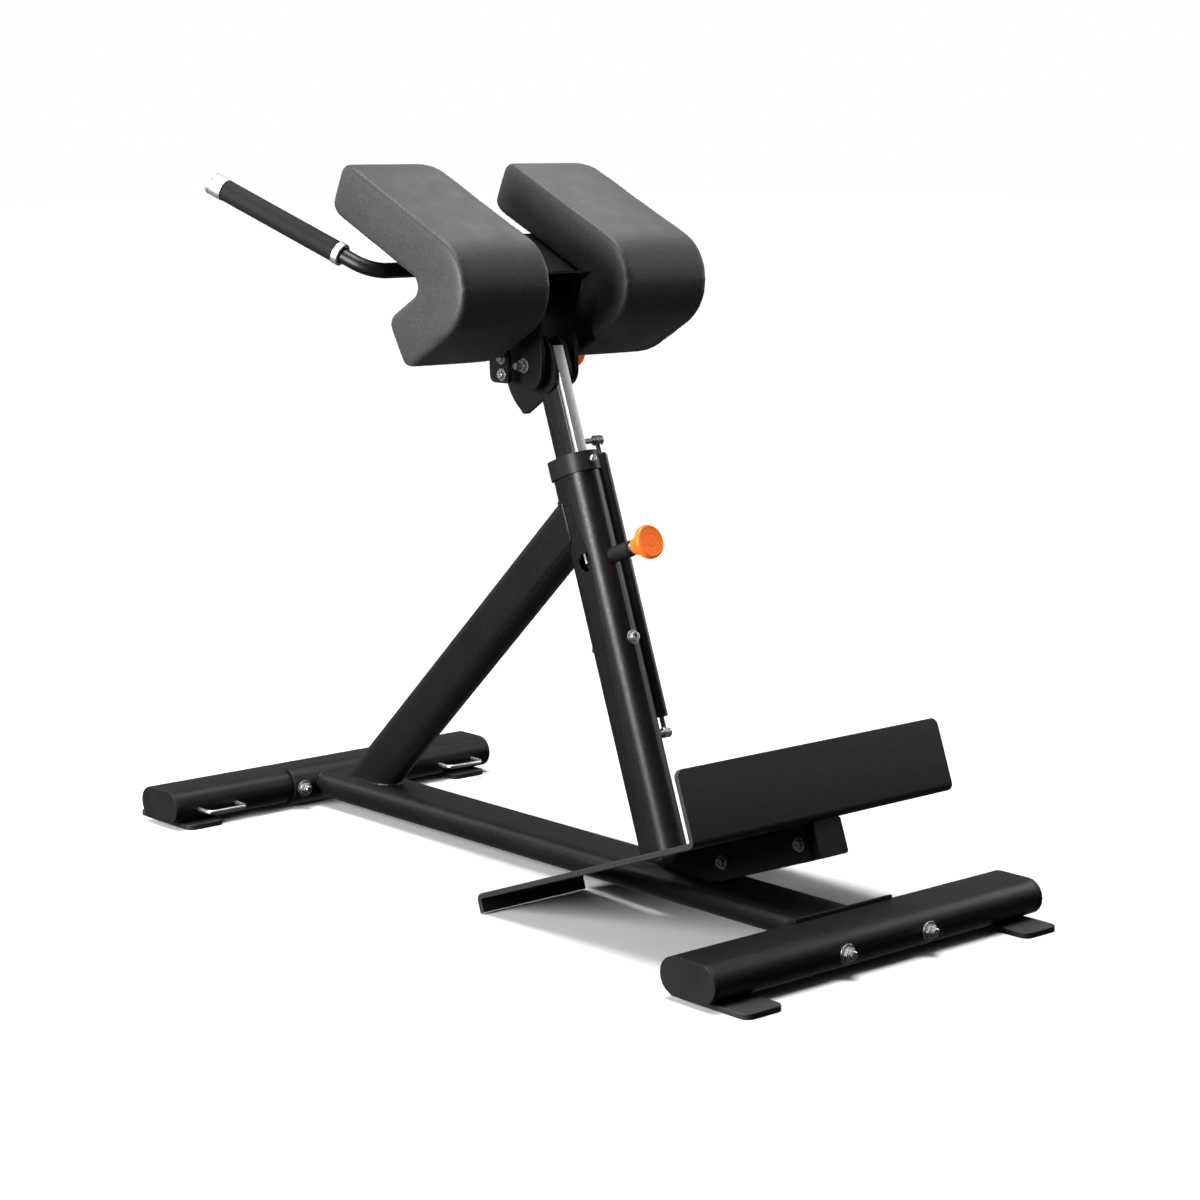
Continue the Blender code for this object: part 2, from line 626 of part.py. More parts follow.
# Spring-loaded pull pins: a barrel fixed to the frame, and a plunger with its knob
def pull_pin(prefix, face, direction, nose):
    """face is where the barrel stands, direction points out of it, nose is how far the pin goes in."""
    along = along_axis(face + direction * GAP, direction)
    length, bore = PIN_BARREL_LENGTH, PIN_SHAFT + 0.0005
    barrel = [(bore, length), (0.0095, length), (0.0095, length - 0.003), (PIN_BARREL_RADIUS, length - 0.003),
              (PIN_BARREL_RADIUS, 0), (bore, 0), (bore, length)]
    turned(f"{prefix}_pin_barrel", barrel, along, PLASTIC, steps=16)
    ring_low = length + 0.0006
    ring_high = ring_low + PIN_RING
    stem = ring_high + 0.018
    plunger = [(0, stem), (PIN_SHAFT, stem), (PIN_SHAFT, ring_high), (0.0098, ring_high), (0.0098, ring_low),
               (PIN_SHAFT, ring_low), (PIN_SHAFT, 0.002 - nose), (0.0035, -nose), (0, -nose)]
    turned(f"{prefix}_plunger", plunger, along, STEEL, steps=16)
    low = ring_high + GAP
    high = low + KNOB_LENGTH
    hole = PIN_SHAFT + GAP
    knob = [(0, high), (0.0205, high), (0.0235, high - 0.002), (0.0245, high - 0.006), (0.0237, high - 0.010),
            (0.0180, high - 0.017), (0.0140, high - 0.025), (0.0118, low),
            (hole, low), (hole, stem + GAP), (0, stem + GAP)]
    turned(f"{prefix}_knob", knob, along, ORANGE, steps=24)


# Foot plate, in the mast's own directions
def foot_plate():
    half = FOOT_WIDTH / 2
    toe = HEEL_REAR + FOOT_LENGTH
    low, high = FOOT_LEVEL, FOOT_LEVEL + PLATE
    bend = 0.010
    bottom = low - TOE_LIP
    top = low + HEEL_HEIGHT
    outline = rounded([
        (HEEL_REAR, low, bend), (toe - PLATE, low, 0.003), (toe - PLATE, bottom, 0), (toe, bottom, 0),
        (toe, high, bend), (HEEL_REAR + PLATE, high, 0.003), (HEEL_REAR + PLATE, top, 0), (HEEL_REAR, top, 0),
    ])
    plate = prism("foot_plate", [outline], -half, half, mast_side(), PLATE_PAINT)
    slot = rectangle(SLOT_REAR, -SLOT_HALF_WIDTH, toe + 0.1, SLOT_HALF_WIDTH, 0.012)
    boolean(plate, prism("foot_slot", [slot], bottom - 0.01, high + 0.01, mast_section(), PLASTIC, cutters))
    for word, side in (("left", 1), ("right", -1)):
        round_corner(plate, f"heel_corner_{word}", half, top, side)


def round_corner(plate, name, edge, top, side):
    """Takes the square off one upper corner of the heel plate."""
    radius = 0.012
    centre = (edge - radius, top - radius)
    outline = arc(centre, radius + 0.0004, 0, pi / 2, 5)
    outline += [(edge - radius, top + 0.01), (edge + 0.01, top + 0.01), (edge + 0.01, top - radius)]
    outline = [(side * across, up) for across, up in outline]
    origin = mast_point(0, HEEL_REAR, 0)
    boolean(plate, prism(name, [outline], -0.02, 0.03, placed(origin, Y, MAST_UP), PLASTIC, cutters))


def foot_arm():
    half = ARM_WIDTH / 2
    top = FOOT_LEVEL - GAP
    front = 0.02
    outer = rectangle(-half, ARM_BOTTOM, half, top, 0.004, 3)
    bore = rectangle(-half + 0.003, ARM_BOTTOM + 0.003, half - 0.003, top - 0.003)
    across = placed(mast_point(0, 0, 0), Y, MAST_UP)
    arm = prism("foot_arm", [outer, bore], ARM_REAR + 0.004 + GAP, front, across, FRAME)
    boolean(arm, mast_outer("arm_mast_cope", GAP, -0.2, 0.2))
    ahead = rectangle(-0.01, -0.1, 0.1, 0.1)
    boolean(arm, prism("arm_front_cut", [ahead], -0.1, 0.1, mast_side(), PLASTIC, cutters))
    floor = BAR_Z + BASE_HEIGHT / 2 + GAP
    boolean(arm, box("arm_base_cut", (-0.5, -0.1, -0.2), (0.1, 0.1, floor)))
    face = prism("foot_arm_cap", [outer], ARM_REAR, ARM_REAR + 0.004, across, PLASTIC)
    plug = rectangle(-half + 0.0055, ARM_BOTTOM + 0.0055, half - 0.0055, top - 0.0055)
    insert = prism("arm_cap_plug", [plug], ARM_REAR + 0.002, ARM_REAR + 0.012, across, PLASTIC, cutters)
    boolean(face, insert, "UNION")
    return arm


def foot_brackets(arm):
    top, inner = FOOT_LEVEL - GAP, ARM_WIDTH / 2 + GAP
    clearance = BAR_Z + BASE_HEIGHT / 2 + 0.008
    notches = []
    for i, at in enumerate(NOTCHES):
        outline = rectangle(at - NOTCH_HALF_LENGTH, top - NOTCH_DEPTH, at + NOTCH_HALF_LENGTH, top + 0.01)
        notches.append(prism(f"bracket_notch_{i}", [outline], -0.1, 0.1, mast_side(), PLASTIC, cutters))
    under = box("bracket_base_cut", (-0.5, -0.1, -0.2), (0.1, 0.1, clearance))
    plates = []
    for word, side in (("left", 1), ("right", -1)):
        outline = rectangle(BRACKET_REAR, ARM_BOTTOM, -0.030, top)
        span = sorted((-side * inner, -side * (inner + BRACKET_THICKNESS)))
        plate = prism(f"foot_bracket_{word}", [outline], span[0], span[1], mast_side(), FRAME)
        boolean(plate, under)
        for notch in notches:
            boolean(plate, notch)
        plates.append(plate)
    middle = (ARM_BOTTOM + top) / 2
    face = inner + BRACKET_THICKNESS + GAP
    for name, at in FOOT_BOLTS.items():
        drill([arm] + plates, mast_point(middle, at, -0.06), Y, FOOT_BOLT_RADIUS + GAP, 0.12, f"{name}_drill")
        fastener(name, mast_point(middle, at, face), Y, 2 * face, radius=FOOT_BOLT_RADIUS, washer=0.0103)


# Pad head: cheeks, yoke, handles and pads
def limb(angle):
    """The direction of a limb and the direction square to it, both on (X, Z)."""
    return Vector((cos(angle), sin(angle))), Vector((-sin(angle), cos(angle)))


UPPER, UPPER_OUT = limb(UPPER_LIMB)
LOWER, LOWER_UP = limb(LOWER_LIMB)
LOWER_OUT = -LOWER_UP


def crossing(first_normal, first, second_normal, second):
    """Where two lines meet, each given by its normal and its distance from the nose's centre."""
    det = first_normal.x * second_normal.y - first_normal.y * second_normal.x
    x = (first * second_normal.y - second * first_normal.y) / det
    y = (first_normal.x * second - second_normal.x * first) / det
    return (x + NOSE_CENTRE.x, y + NOSE_CENTRE.z)


def boomerang(upper_out, upper_in, upper_end, lower_out, lower_in, lower_end, radii):
    """A V on its side: two limbs that meet at a nose.  Corners run anticlockwise from the nose."""
    corners = [
        crossing(UPPER_OUT, upper_out, LOWER_OUT, lower_out),
        crossing(LOWER_OUT, lower_out, LOWER, lower_end),
        crossing(LOWER, lower_end, LOWER_OUT, lower_in),
        crossing(LOWER_OUT, lower_in, UPPER_OUT, upper_in),
        crossing(UPPER_OUT, upper_in, UPPER, upper_end),
        crossing(UPPER, upper_end, UPPER_OUT, upper_out),
    ]
    return [(x, y, radius) for (x, y), radius in zip(corners, radii)]


def pads():
    corners = boomerang(UPPER_OUTER, UPPER_INNER, UPPER_END, LOWER_OUTER, LOWER_INNER, LOWER_END,
                        (NOSE_RADIUS, 0.017, 0.014, 0.0156, 0.017, 0.017))
    outline = []
    for i, corner in enumerate(corners):
        outline += corner_arc(corners, i, PAD_CORNER_STEPS[i])
    for word, side in (("left", 1), ("right", -1)):
        span = sorted((-side * PAD_INNER_Y, -side * PAD_OUTER_Y))
        pad = prism(f"thigh_pad_{word}", [outline], span[0], span[1], side_view(), VINYL)
        edge = pad.modifiers.new("Bevel", "BEVEL")
        edge.width = PAD_EDGE
        edge.segments = 2
        edge.limit_method = "ANGLE"
        edge.angle_limit = radians(60)


def corner_arc(corners, index, steps):
    """One filleted corner of a polygon, with its own number of steps."""
    whole = rounded(corners, steps)
    before = sum(1 if radius == 0 else steps + 1 for _, _, radius in corners[:index])
    count = 1 if corners[index][2] == 0 else steps + 1
    return whole[before:before + count]


def yoke():
    """The V plate that both pads are screwed to, with an ear inside each pad."""
    top, low = UPPER_INNER - GAP, LOWER_INNER - GAP
    corners = boomerang(top, top - YOKE_THICKNESS, 0.165, low, low - YOKE_THICKNESS, 0.098,
                        (0.0153, 0.0, 0.0, 0.0103, 0.0, 0.0))
    outline = rounded(corners, PAD_CORNER_STEPS[3])
    plate = prism("pad_yoke", [outline], -YOKE_HALF_LENGTH, YOKE_HALF_LENGTH, side_view(), FRAME)
    tongue = [
        crossing(LOWER_OUT, low, LOWER, -0.012), crossing(LOWER_OUT, low, LOWER, 0.045),
        crossing(LOWER_OUT, low - 0.004, LOWER, 0.045), crossing(LOWER_OUT, low - 0.004, LOWER, -0.012),
    ]
    boolean(plate, prism("yoke_tongue", [tongue], -0.060, 0.060, side_view(), FRAME, cutters), "UNION")
    for word, side in (("left", 1), ("right", -1)):
        ear = [(0.048, 0.7125, 0.004), (0.0885, 0.7125, 0.011), (0.0910, 0.775, 0.0), (0.0975, 0.8165, 0.0),
               (0.0840, 0.8240, 0.0), (0.056, 0.775, 0.0), (0.047, 0.745, 0.0)]
        span = sorted((-side * 0.053, -side * 0.059))
        ear = prism(f"yoke_ear_{word}", [rounded(ear)], span[0], span[1], side_view(), FRAME, cutters)
        boolean(plate, ear, "UNION")
        for place, x, z in (("upper", 0.062, 0.748), ("lower", 0.0605, 0.7245)):
            drill([plate], Vector((x, side * 0.045, z)), Y * side, 0.0043, 0.025, f"ear_{place}_drill_{word}")
            head = Vector((x, side * (0.059 + GAP), z))
            fastener(f"ear_bolt_{place}_{word}", head, Y * side, 0.006 + 2 * GAP, radius=0.004, washer=0.0095,
                     tail=0.002)


def pivot_point():
    place = mast_point(PIVOT_ALONG, PIVOT_FORWARD)
    return Vector((place.x, place.z))


def cheeks():
    """The two hooked plates that hang the pads on the pivot."""
    pivot = pivot_point()
    lower_face, upper_face = LOWER_INNER, UPPER_INNER - YOKE_THICKNESS - 2 * GAP
    under_rear = crossing(LOWER_OUT, lower_face, LOWER, -0.012)
    under_front = crossing(LOWER_OUT, lower_face, LOWER, 0.1010)
    inside_front = crossing(LOWER_OUT, lower_face - 0.010, LOWER, 0.1010)
    above_rear = crossing(UPPER_OUT, upper_face, UPPER, 0.105)
    above_front = crossing(UPPER_OUT, upper_face, UPPER, 0.160)
    rear_edge = [(*above_front, 0), (*above_rear, 0), (*inside_front, 0), (*under_front, 0), (*under_rear, 0),
                 (0.011, 0.800, 0), (0.0025, 0.760, 0)]
    fronts = {
        "left": [(0.0025, 0.701, 0.031), (0.071, 0.701, 0.022), (0.071, 0.748, 0.030), (0.118, 0.775, 0.020),
                 (0.161, 0.850, 0.010)],
        "right": [(0.0025, 0.706, 0.024), (0.093, 0.706, 0.014), (0.1275, 0.735, 0.012), (0.127, 0.775, 0.020),
                  (0.161, 0.850, 0.010)],
    }
    tube = circle((HANDLE_X, HANDLE_Z), HANDLE_TUBE + GAP)
    pin = circle((pivot.x + TILT_PIN_OFFSET.x, pivot.y + TILT_PIN_OFFSET.z), PIN_SHAFT + 0.0005)
    boss = circle(pivot, 0.0115, 20)
    inside = SLIDER_WIDTH / 2 + 0.006 + 2 * GAP
    for word, side in (("left", 1), ("right", -1)):
        span = sorted((-side * CHEEK_INNER, -side * CHEEK_OUTER))
        outline = rounded(fronts[word] + rear_edge, 6)
        holes = [tube] if side > 0 else [tube, pin]
        plate = prism(f"cheek_{word}", [outline] + holes, span[0], span[1], side_view(), FRAME)
        span = sorted((-side * inside, -side * (CHEEK_INNER + 0.002)))
        raised = prism(f"cheek_boss_{word}", [boss], span[0], span[1], side_view(), FRAME, cutters)
        boolean(plate, raised, "UNION")
        drill([plate], Vector((pivot.x, 0, pivot.y)), Y * side, PIVOT_RADIUS + GAP, 0.05, f"pivot_drill_{word}")


def pivot_bolt():
    pivot = pivot_point()
    place = Vector((pivot.x, -CHEEK_OUTER - GAP, pivot.y))
    fastener("pivot_bolt", place, -Y, 2 * (CHEEK_OUTER + GAP), radius=PIVOT_RADIUS, washer=0.0108, tail=0.010)


def handle_route(side):
    """Half of the handle tube, from the middle out to the free end, with its elbow rounded."""
    elbow = Vector((HANDLE_X, side * HANDLE_ELBOW_Y, HANDLE_Z))
    out = Vector((HANDLE_DIRECTION.x, side * HANDLE_DIRECTION.y, HANDLE_DIRECTION.z))
    back = Vector((0, -side, 0))
    half = back.angle(out) / 2
    centre = elbow + (back + out).normalized() * (HANDLE_BEND / sin(half))
    first = elbow + back * (HANDLE_BEND / tan(half)) - centre
    last = elbow + out * (HANDLE_BEND / tan(half)) - centre
    axis = first.cross(last).normalized()
    sweep = first.angle(last)
    bend = [centre + Matrix.Rotation(sweep * i / 7, 3, axis) @ first for i in range(8)]
    end = elbow + out * (GRIP_START + RING_LENGTH + GRIP_LENGTH + GRIP_CAP_LENGTH - 0.006)
    return bend + [end], elbow, out


def handles():
    left, _, _ = handle_route(1)
    right, _, _ = handle_route(-1)
    swept("handle_tube", list(reversed(right)) + left, HANDLE_TUBE, FRAME, sides=4)
    hole = HANDLE_TUBE + GAP
    for word, side in (("left", 1), ("right", -1)):
        _, elbow, out = handle_route(side)
        start = GRIP_START
        ring = [(hole, RING_LENGTH), (GRIP_RADIUS + 0.001, RING_LENGTH), (GRIP_RADIUS + 0.001, 0.001),
                (GRIP_RADIUS, 0), (hole, 0), (hole, RING_LENGTH)]
        turned(f"grip_ring_{word}", ring, along_axis(elbow + out * start, out), ALUMINIUM, steps=20)
        start += RING_LENGTH + GAP
        length = GRIP_LENGTH - 2 * GAP
        grip = [(hole, length), (GRIP_RADIUS, length), (GRIP_RADIUS, 0), (hole, 0), (hole, length)]
        turned(f"hand_grip_{word}", grip, along_axis(elbow + out * start, out), RUBBER, steps=20)
        start += length + GAP
        wide, deep = GRIP_RADIUS + 0.001, GRIP_CAP_LENGTH
        cap = [(0, deep), (wide - 0.003, deep), (wide, deep - 0.003), (wide, 0), (hole, 0),
               (hole, deep - 0.0055), (0, deep - 0.0055)]
        turned(f"grip_cap_{word}", cap, along_axis(elbow + out * start, out), ALUMINIUM, steps=20)


def build():
    floor_frame()
    outer_mast()
    brace()
    collar()
    stop_bolt()
    sliding_post()
    head_plates()
    sector()
    gas_spring()
    rear_face = MAST_DEPTH / 2
    height_pin = mast_point(HEIGHT_PIN_ALONG, -rear_face, 0)
    pull_pin("height", height_pin, -MAST_FORWARD, rear_face + RAIL_REAR - 0.0015)
    foot_plate()
    foot_brackets(foot_arm())
    pads()
    yoke()
    cheeks()
    pivot_bolt()
    handles()
    pivot = pivot_point()
    tilt_pin = Vector((pivot.x, 0, pivot.y)) + TILT_PIN_OFFSET
    pull_pin("tilt", tilt_pin - Y * CHEEK_OUTER, -Y, CHEEK_OUTER - SECTOR_THICKNESS / 2 - 0.002)


build()
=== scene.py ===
"""Looks of a 45 degree back-extension bench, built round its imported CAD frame."""

import json
from math import cos, pi, radians, sin, tan

import bmesh
import bpy
import numpy as np
from mathutils import Matrix, Vector
from mathutils.bvhtree import BVHTree

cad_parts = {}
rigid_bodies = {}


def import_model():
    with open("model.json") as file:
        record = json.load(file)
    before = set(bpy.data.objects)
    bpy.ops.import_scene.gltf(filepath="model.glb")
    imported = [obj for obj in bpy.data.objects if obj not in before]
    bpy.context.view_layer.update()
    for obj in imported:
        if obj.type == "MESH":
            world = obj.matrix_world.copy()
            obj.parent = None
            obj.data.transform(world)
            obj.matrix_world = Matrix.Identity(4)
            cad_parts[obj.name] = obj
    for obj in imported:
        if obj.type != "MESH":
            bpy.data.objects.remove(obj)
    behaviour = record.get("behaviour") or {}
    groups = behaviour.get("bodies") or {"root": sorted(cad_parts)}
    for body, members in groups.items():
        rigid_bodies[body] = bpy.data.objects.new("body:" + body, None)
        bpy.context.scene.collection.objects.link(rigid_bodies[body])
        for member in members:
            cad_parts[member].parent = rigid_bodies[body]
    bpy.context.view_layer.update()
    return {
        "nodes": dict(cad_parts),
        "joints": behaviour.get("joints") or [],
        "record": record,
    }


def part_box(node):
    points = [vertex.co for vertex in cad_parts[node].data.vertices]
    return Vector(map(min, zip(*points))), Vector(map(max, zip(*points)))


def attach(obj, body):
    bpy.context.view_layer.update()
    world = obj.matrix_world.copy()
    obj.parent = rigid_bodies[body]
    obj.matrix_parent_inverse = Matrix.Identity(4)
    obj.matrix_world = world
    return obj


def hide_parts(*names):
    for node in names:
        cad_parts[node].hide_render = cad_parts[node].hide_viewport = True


for old in list(bpy.data.objects):
    bpy.data.objects.remove(old, do_unlink=True)

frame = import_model()
nodes = frame["nodes"]
slots = {row["node"]: row["material_slot"] for row in frame["record"]["subparts"]}
joints = {joint["name"]: joint for joint in frame["joints"]}

X, Y = Vector((1, 0, 0)), Vector((0, 1, 0))
MAST_UP = Vector(joints["post_slide"]["axis"])
MAST_FORWARD = Vector((MAST_UP.z, 0, -MAST_UP.x))
BODY_OF = {node: body for body, members in frame["record"]["behaviour"]["bodies"].items() for node in members}


# Materials
class Material:
    """A Principled material and short ways to add nodes to it."""

    def __init__(self, name, roughness, metallic=0.0, coat=0.0):
        self.made = bpy.data.materials.new(name)
        self.made.use_nodes = True
        self.tree = self.made.node_tree
        self.shader = self.tree.nodes["Principled BSDF"]
        self.shader.inputs["Roughness"].default_value = roughness
        self.shader.inputs["Metallic"].default_value = metallic
        self.shader.inputs["Coat Weight"].default_value = coat
        self.place = self.add("ShaderNodeTexCoord").outputs["Object"]
        self.bumps = None

    def add(self, kind, **inputs):
        node = self.tree.nodes.new(kind)
        for name, value in inputs.items():
            node.inputs[name.replace("_", " ")].default_value = value
        return node

    def link(self, out, into):
        self.tree.links.new(out, into)

    def noise(self, scale, detail=2.0, stretch=None, turn=None):
        texture = self.add("ShaderNodeTexNoise", Scale=scale, Detail=detail)
        source = self.place
        if stretch:
            mapping = self.add("ShaderNodeMapping", Scale=stretch, Rotation=turn or (0, 0, 0))
            self.link(source, mapping.inputs["Vector"])
            source = mapping.outputs["Vector"]
        self.link(source, texture.inputs["Vector"])
        return texture.outputs["Fac"]

    def colour(self, factor, dark, light, low=0.35, high=0.65):
        ramp = self.add("ShaderNodeValToRGB")
        ramp.color_ramp.elements[0].position = low
        ramp.color_ramp.elements[1].position = high
        ramp.color_ramp.elements[0].color = (*dark, 1)
        ramp.color_ramp.elements[1].color = (*light, 1)
        self.link(factor, ramp.inputs["Fac"])
        self.link(ramp.outputs["Color"], self.shader.inputs["Base Color"])

    def roughness(self, factor, low, high):
        spread = self.add("ShaderNodeMapRange", To_Min=low, To_Max=high)
        spread.inputs["From Min"].default_value = 0.3
        spread.inputs["From Max"].default_value = 0.7
        self.link(factor, spread.inputs["Value"])
        self.link(spread.outputs["Result"], self.shader.inputs["Roughness"])

    def bump(self, factor, depth, strength=1.0):
        node = self.add("ShaderNodeBump", Strength=strength, Distance=depth)
        self.link(factor, node.inputs["Height"])
        if self.bumps:
            self.link(self.bumps, node.inputs["Normal"])
        self.bumps = node.outputs["Normal"]
        self.link(self.bumps, self.shader.inputs["Normal"])


def grey(value, warm=0.0):
    return (value * (1 + warm), value, value * (1 - warm))


def powder_coat():
    """Satin black paint with the fine orange peel of a baked powder."""
    paint = Material("satin_powder_coat", 0.38)
    fine = paint.noise(720.0, 3.0)
    peel = paint.noise(260.0, 2.0)
    paint.colour(paint.noise(14.0, 3.0), grey(0.0050), grey(0.0075))
    paint.roughness(peel, 0.34, 0.46)
    paint.bump(peel, 0.00010, 0.5)
    paint.bump(fine, 0.00010, 0.6)
    paint.shader.inputs["Specular IOR Level"].default_value = 0.40
    return paint.made


def textured_coat():
    """The rough, non-slip black paint of the foot plate and the floor plates."""
    paint = Material("textured_powder_coat", 0.55)
    grain = paint.noise(620.0, 4.0)
    paint.colour(paint.noise(900.0, 2.0), grey(0.012), grey(0.036))
    paint.roughness(grain, 0.45, 0.65)
    paint.bump(grain, 0.00035, 0.7)
    return paint.made


def vinyl():
    """Smooth matt upholstery skin with a very fine grain."""
    skin = Material("pad_vinyl", 0.5)
    grain = skin.noise(540.0, 4.0)
    skin.colour(skin.noise(620.0, 3.0), grey(0.024), grey(0.060))
    skin.roughness(skin.noise(30.0, 2.0), 0.46, 0.56)
    skin.bump(grain, 0.00040, 0.7)
    skin.bump(skin.noise(22.0, 2.0), 0.0006, 0.35)
    skin.shader.inputs["Sheen Weight"].default_value = 0.06
    skin.shader.inputs["Sheen Roughness"].default_value = 0.5
    return skin.made


def moulded_plastic():
    plastic = Material("moulded_black_plastic", 0.45)
    grain = plastic.noise(1100.0, 2.0)
    plastic.colour(plastic.noise(25.0, 2.0), grey(0.011), grey(0.017))
    plastic.roughness(grain, 0.40, 0.52)
    plastic.bump(grain, 0.00006, 0.6)
    plastic.shader.inputs["Specular IOR Level"].default_value = 0.30
    return plastic.made


def rubber():
    grip = Material("grip_rubber", 0.7)
    grain = grip.noise(1400.0, 3.0)
    grip.colour(grip.noise(1800.0, 2.0), grey(0.005), grey(0.013))
    grip.roughness(grain, 0.62, 0.78)
    grip.bump(grain, 0.00025, 0.8)
    grip.shader.inputs["Specular IOR Level"].default_value = 0.30
    return grip.made


def bright_steel():
    steel = Material("bright_zinc_steel", 0.2, metallic=1.0)
    steel.colour(steel.noise(160.0, 3.0), grey(0.72, 0.01), grey(0.92, 0.01))
    steel.roughness(steel.noise(420.0, 3.0), 0.24, 0.40)
    steel.bump(steel.noise(900.0, 2.0), 0.00003, 0.4)
    return steel.made


def brushed_aluminium():
    """Bright metal, with its grain along the mast."""
    lean = (0, -radians(20.0), 0)
    metal = Material("satin_aluminium", 0.28, metallic=1.0)
    lines = metal.noise(300.0, 4.0, stretch=(6.0, 6.0, 0.25), turn=lean)
    metal.colour(lines, grey(0.62), grey(0.74))
    metal.roughness(lines, 0.48, 0.58)
    metal.bump(lines, 0.00004, 0.35)
    return metal.made


def orange_plastic():
    plastic = Material("orange_plastic", 0.34)
    plastic.colour(plastic.noise(60.0, 2.0), (0.90, 0.180, 0.010), (0.97, 0.215, 0.016))
    plastic.roughness(plastic.noise(700.0, 2.0), 0.30, 0.40)
    plastic.bump(plastic.noise(1200.0, 2.0), 0.00004, 0.5)
    # Emission makes the knob glow a little: painted light that brightens its shaded face.
    plastic.shader.inputs["Emission Color"].default_value = (0.95, 0.13, 0.012, 1)
    plastic.shader.inputs["Emission Strength"].default_value = 0.36
    plastic.shader.inputs["Subsurface Weight"].default_value = 0.08
    plastic.shader.inputs["Subsurface Radius"].default_value = (0.004, 0.0015, 0.0006)
    return plastic.made


def white_ink_painted_glow():
    ink = Material("white_ink_painted_glow", 0.55)
    ink.colour(ink.noise(900.0, 2.0), grey(0.70), grey(0.80))
    ink.bump(ink.noise(1500.0, 2.0), 0.00003, 0.4)
    # Emission makes the printed numbers glow: painted light, so they show in the shade of the mast's window.
    ink.shader.inputs["Emission Color"].default_value = (1, 1, 1, 1)
    ink.shader.inputs["Emission Strength"].default_value = 0.45
    return ink.made


MATERIALS = {
    "frame_paint": powder_coat(),
    "textured_paint": textured_coat(),
    "black_plastic": moulded_plastic(),
    "zinc_steel": bright_steel(),
    "aluminium": brushed_aluminium(),
    "orange_plastic": orange_plastic(),
    "pad_vinyl": vinyl(),
    "grip_rubber": rubber(),
}
WHITE_INK_PAINTED_GLOW = white_ink_painted_glow()


# Carried-over CAD nodes: rounded edges and a real finish
EDGE = {
    "foot_plate": 0.0012, "mast_collar": 0.0016, "base_tube": 0.0008, "outer_mast": 0.0006,
    "height_pin_barrel": 0.0008, "tilt_pin_barrel": 0.0008, "mast_rail": 0.0006,
}
DEFAULT_EDGE = 0.0009


def polish(name, node):
    """Rounds a node's sharp edges and gives it its slot's material."""
    mesh = node.data
    mesh.materials.clear()
    mesh.materials.append(MATERIALS[slots[name]])
    if "custom_normal" in mesh.attributes:
        mesh.attributes.remove(mesh.attributes["custom_normal"])
    mesh.shade_smooth()
    weld = node.modifiers.new("Weld", "WELD")
    weld.merge_threshold = 0.00001
    flat = node.modifiers.new("Dissolve", "DECIMATE")
    flat.decimate_type = "DISSOLVE"
    flat.angle_limit = radians(0.6)
    edge = node.modifiers.new("Bevel", "BEVEL")
    edge.width = EDGE.get(name, DEFAULT_EDGE)
    edge.segments = 3
    edge.limit_method = "ANGLE"
    edge.angle_limit = radians(40)
    edge.use_clamp_overlap = True
    edge.harden_normals = True


# New pieces
def add_piece(name, mesh, matrix, slot, body, replaced=(), smooth_angle=40):
    mesh.name = name
    mesh.materials.clear()
    mesh.materials.append(MATERIALS.get(slot, WHITE_INK_PAINTED_GLOW))
    mesh.shade_smooth()
    mesh.set_sharp_from_angle(angle=radians(smooth_angle))
    piece = bpy.data.objects.new(name, mesh)
    piece.matrix_world = matrix
    bpy.context.scene.collection.objects.link(piece)
    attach(piece, body)
    if replaced:
        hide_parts(*replaced)
    return piece


def softened(profile, radius, steps=3):
    """A profile of (radius, height) points with each inner corner rounded."""
    out = [profile[0]]
    for before, here, after in zip(profile, profile[1:], profile[2:]):
        here = Vector(here)
        back, on = Vector(before) - here, Vector(after) - here
        reach = min(radius, back.length * 0.45, on.length * 0.45)
        if back.length < 1e-7 or on.length < 1e-7 or reach < 1e-6:
            out.append(tuple(here))
            continue
        first, last = here + back.normalized() * reach, here + on.normalized() * reach
        for i in range(steps + 1):
            t = i / steps
            out.append(tuple(first * (1 - t) ** 2 + here * 2 * t * (1 - t) + last * t ** 2))
    return out + [profile[-1]]


def lathe(shape, profile, steps=48, at=0.0):
    """Adds a profile turned about Z to a bmesh."""
    rings = []
    for radius, height in profile:
        if radius < 1e-6:
            rings.append([shape.verts.new((0, 0, height + at))])
        else:
            turn = [2 * pi * i / steps for i in range(steps)]
            rings.append([shape.verts.new((radius * cos(a), radius * sin(a), height + at)) for a in turn])
    for low, high in zip(rings, rings[1:]):
        for i in range(steps):
            j = (i + 1) % steps
            corners = [low[i % len(low)], low[j % len(low)], high[j % len(high)], high[i % len(high)]]
            unique = list(dict.fromkeys(corners))
            if len(unique) > 2:
                shape.faces.new(unique)


def mesh_of(shape):
    bmesh.ops.recalc_face_normals(shape, faces=shape.faces)
    mesh = bpy.data.meshes.new("piece")
    shape.to_mesh(mesh)
    shape.free()
    return mesh


def axis_frame(node, direction):
    """A matrix on the outer end of a turned node, with its Z along direction."""
    points = np.array([v.co for v in nodes[node].data.vertices])
    turn = direction.to_track_quat("Z", "Y").to_matrix()
    local = points @ np.array(turn)
    middle = (local.max(axis=0) + local.min(axis=0)) / 2
    centre = turn @ Vector((middle[0], middle[1], local[:, 2].max()))
    return Matrix.Translation(centre) @ turn.to_4x4(), float(np.ptp(local[:, 2]))


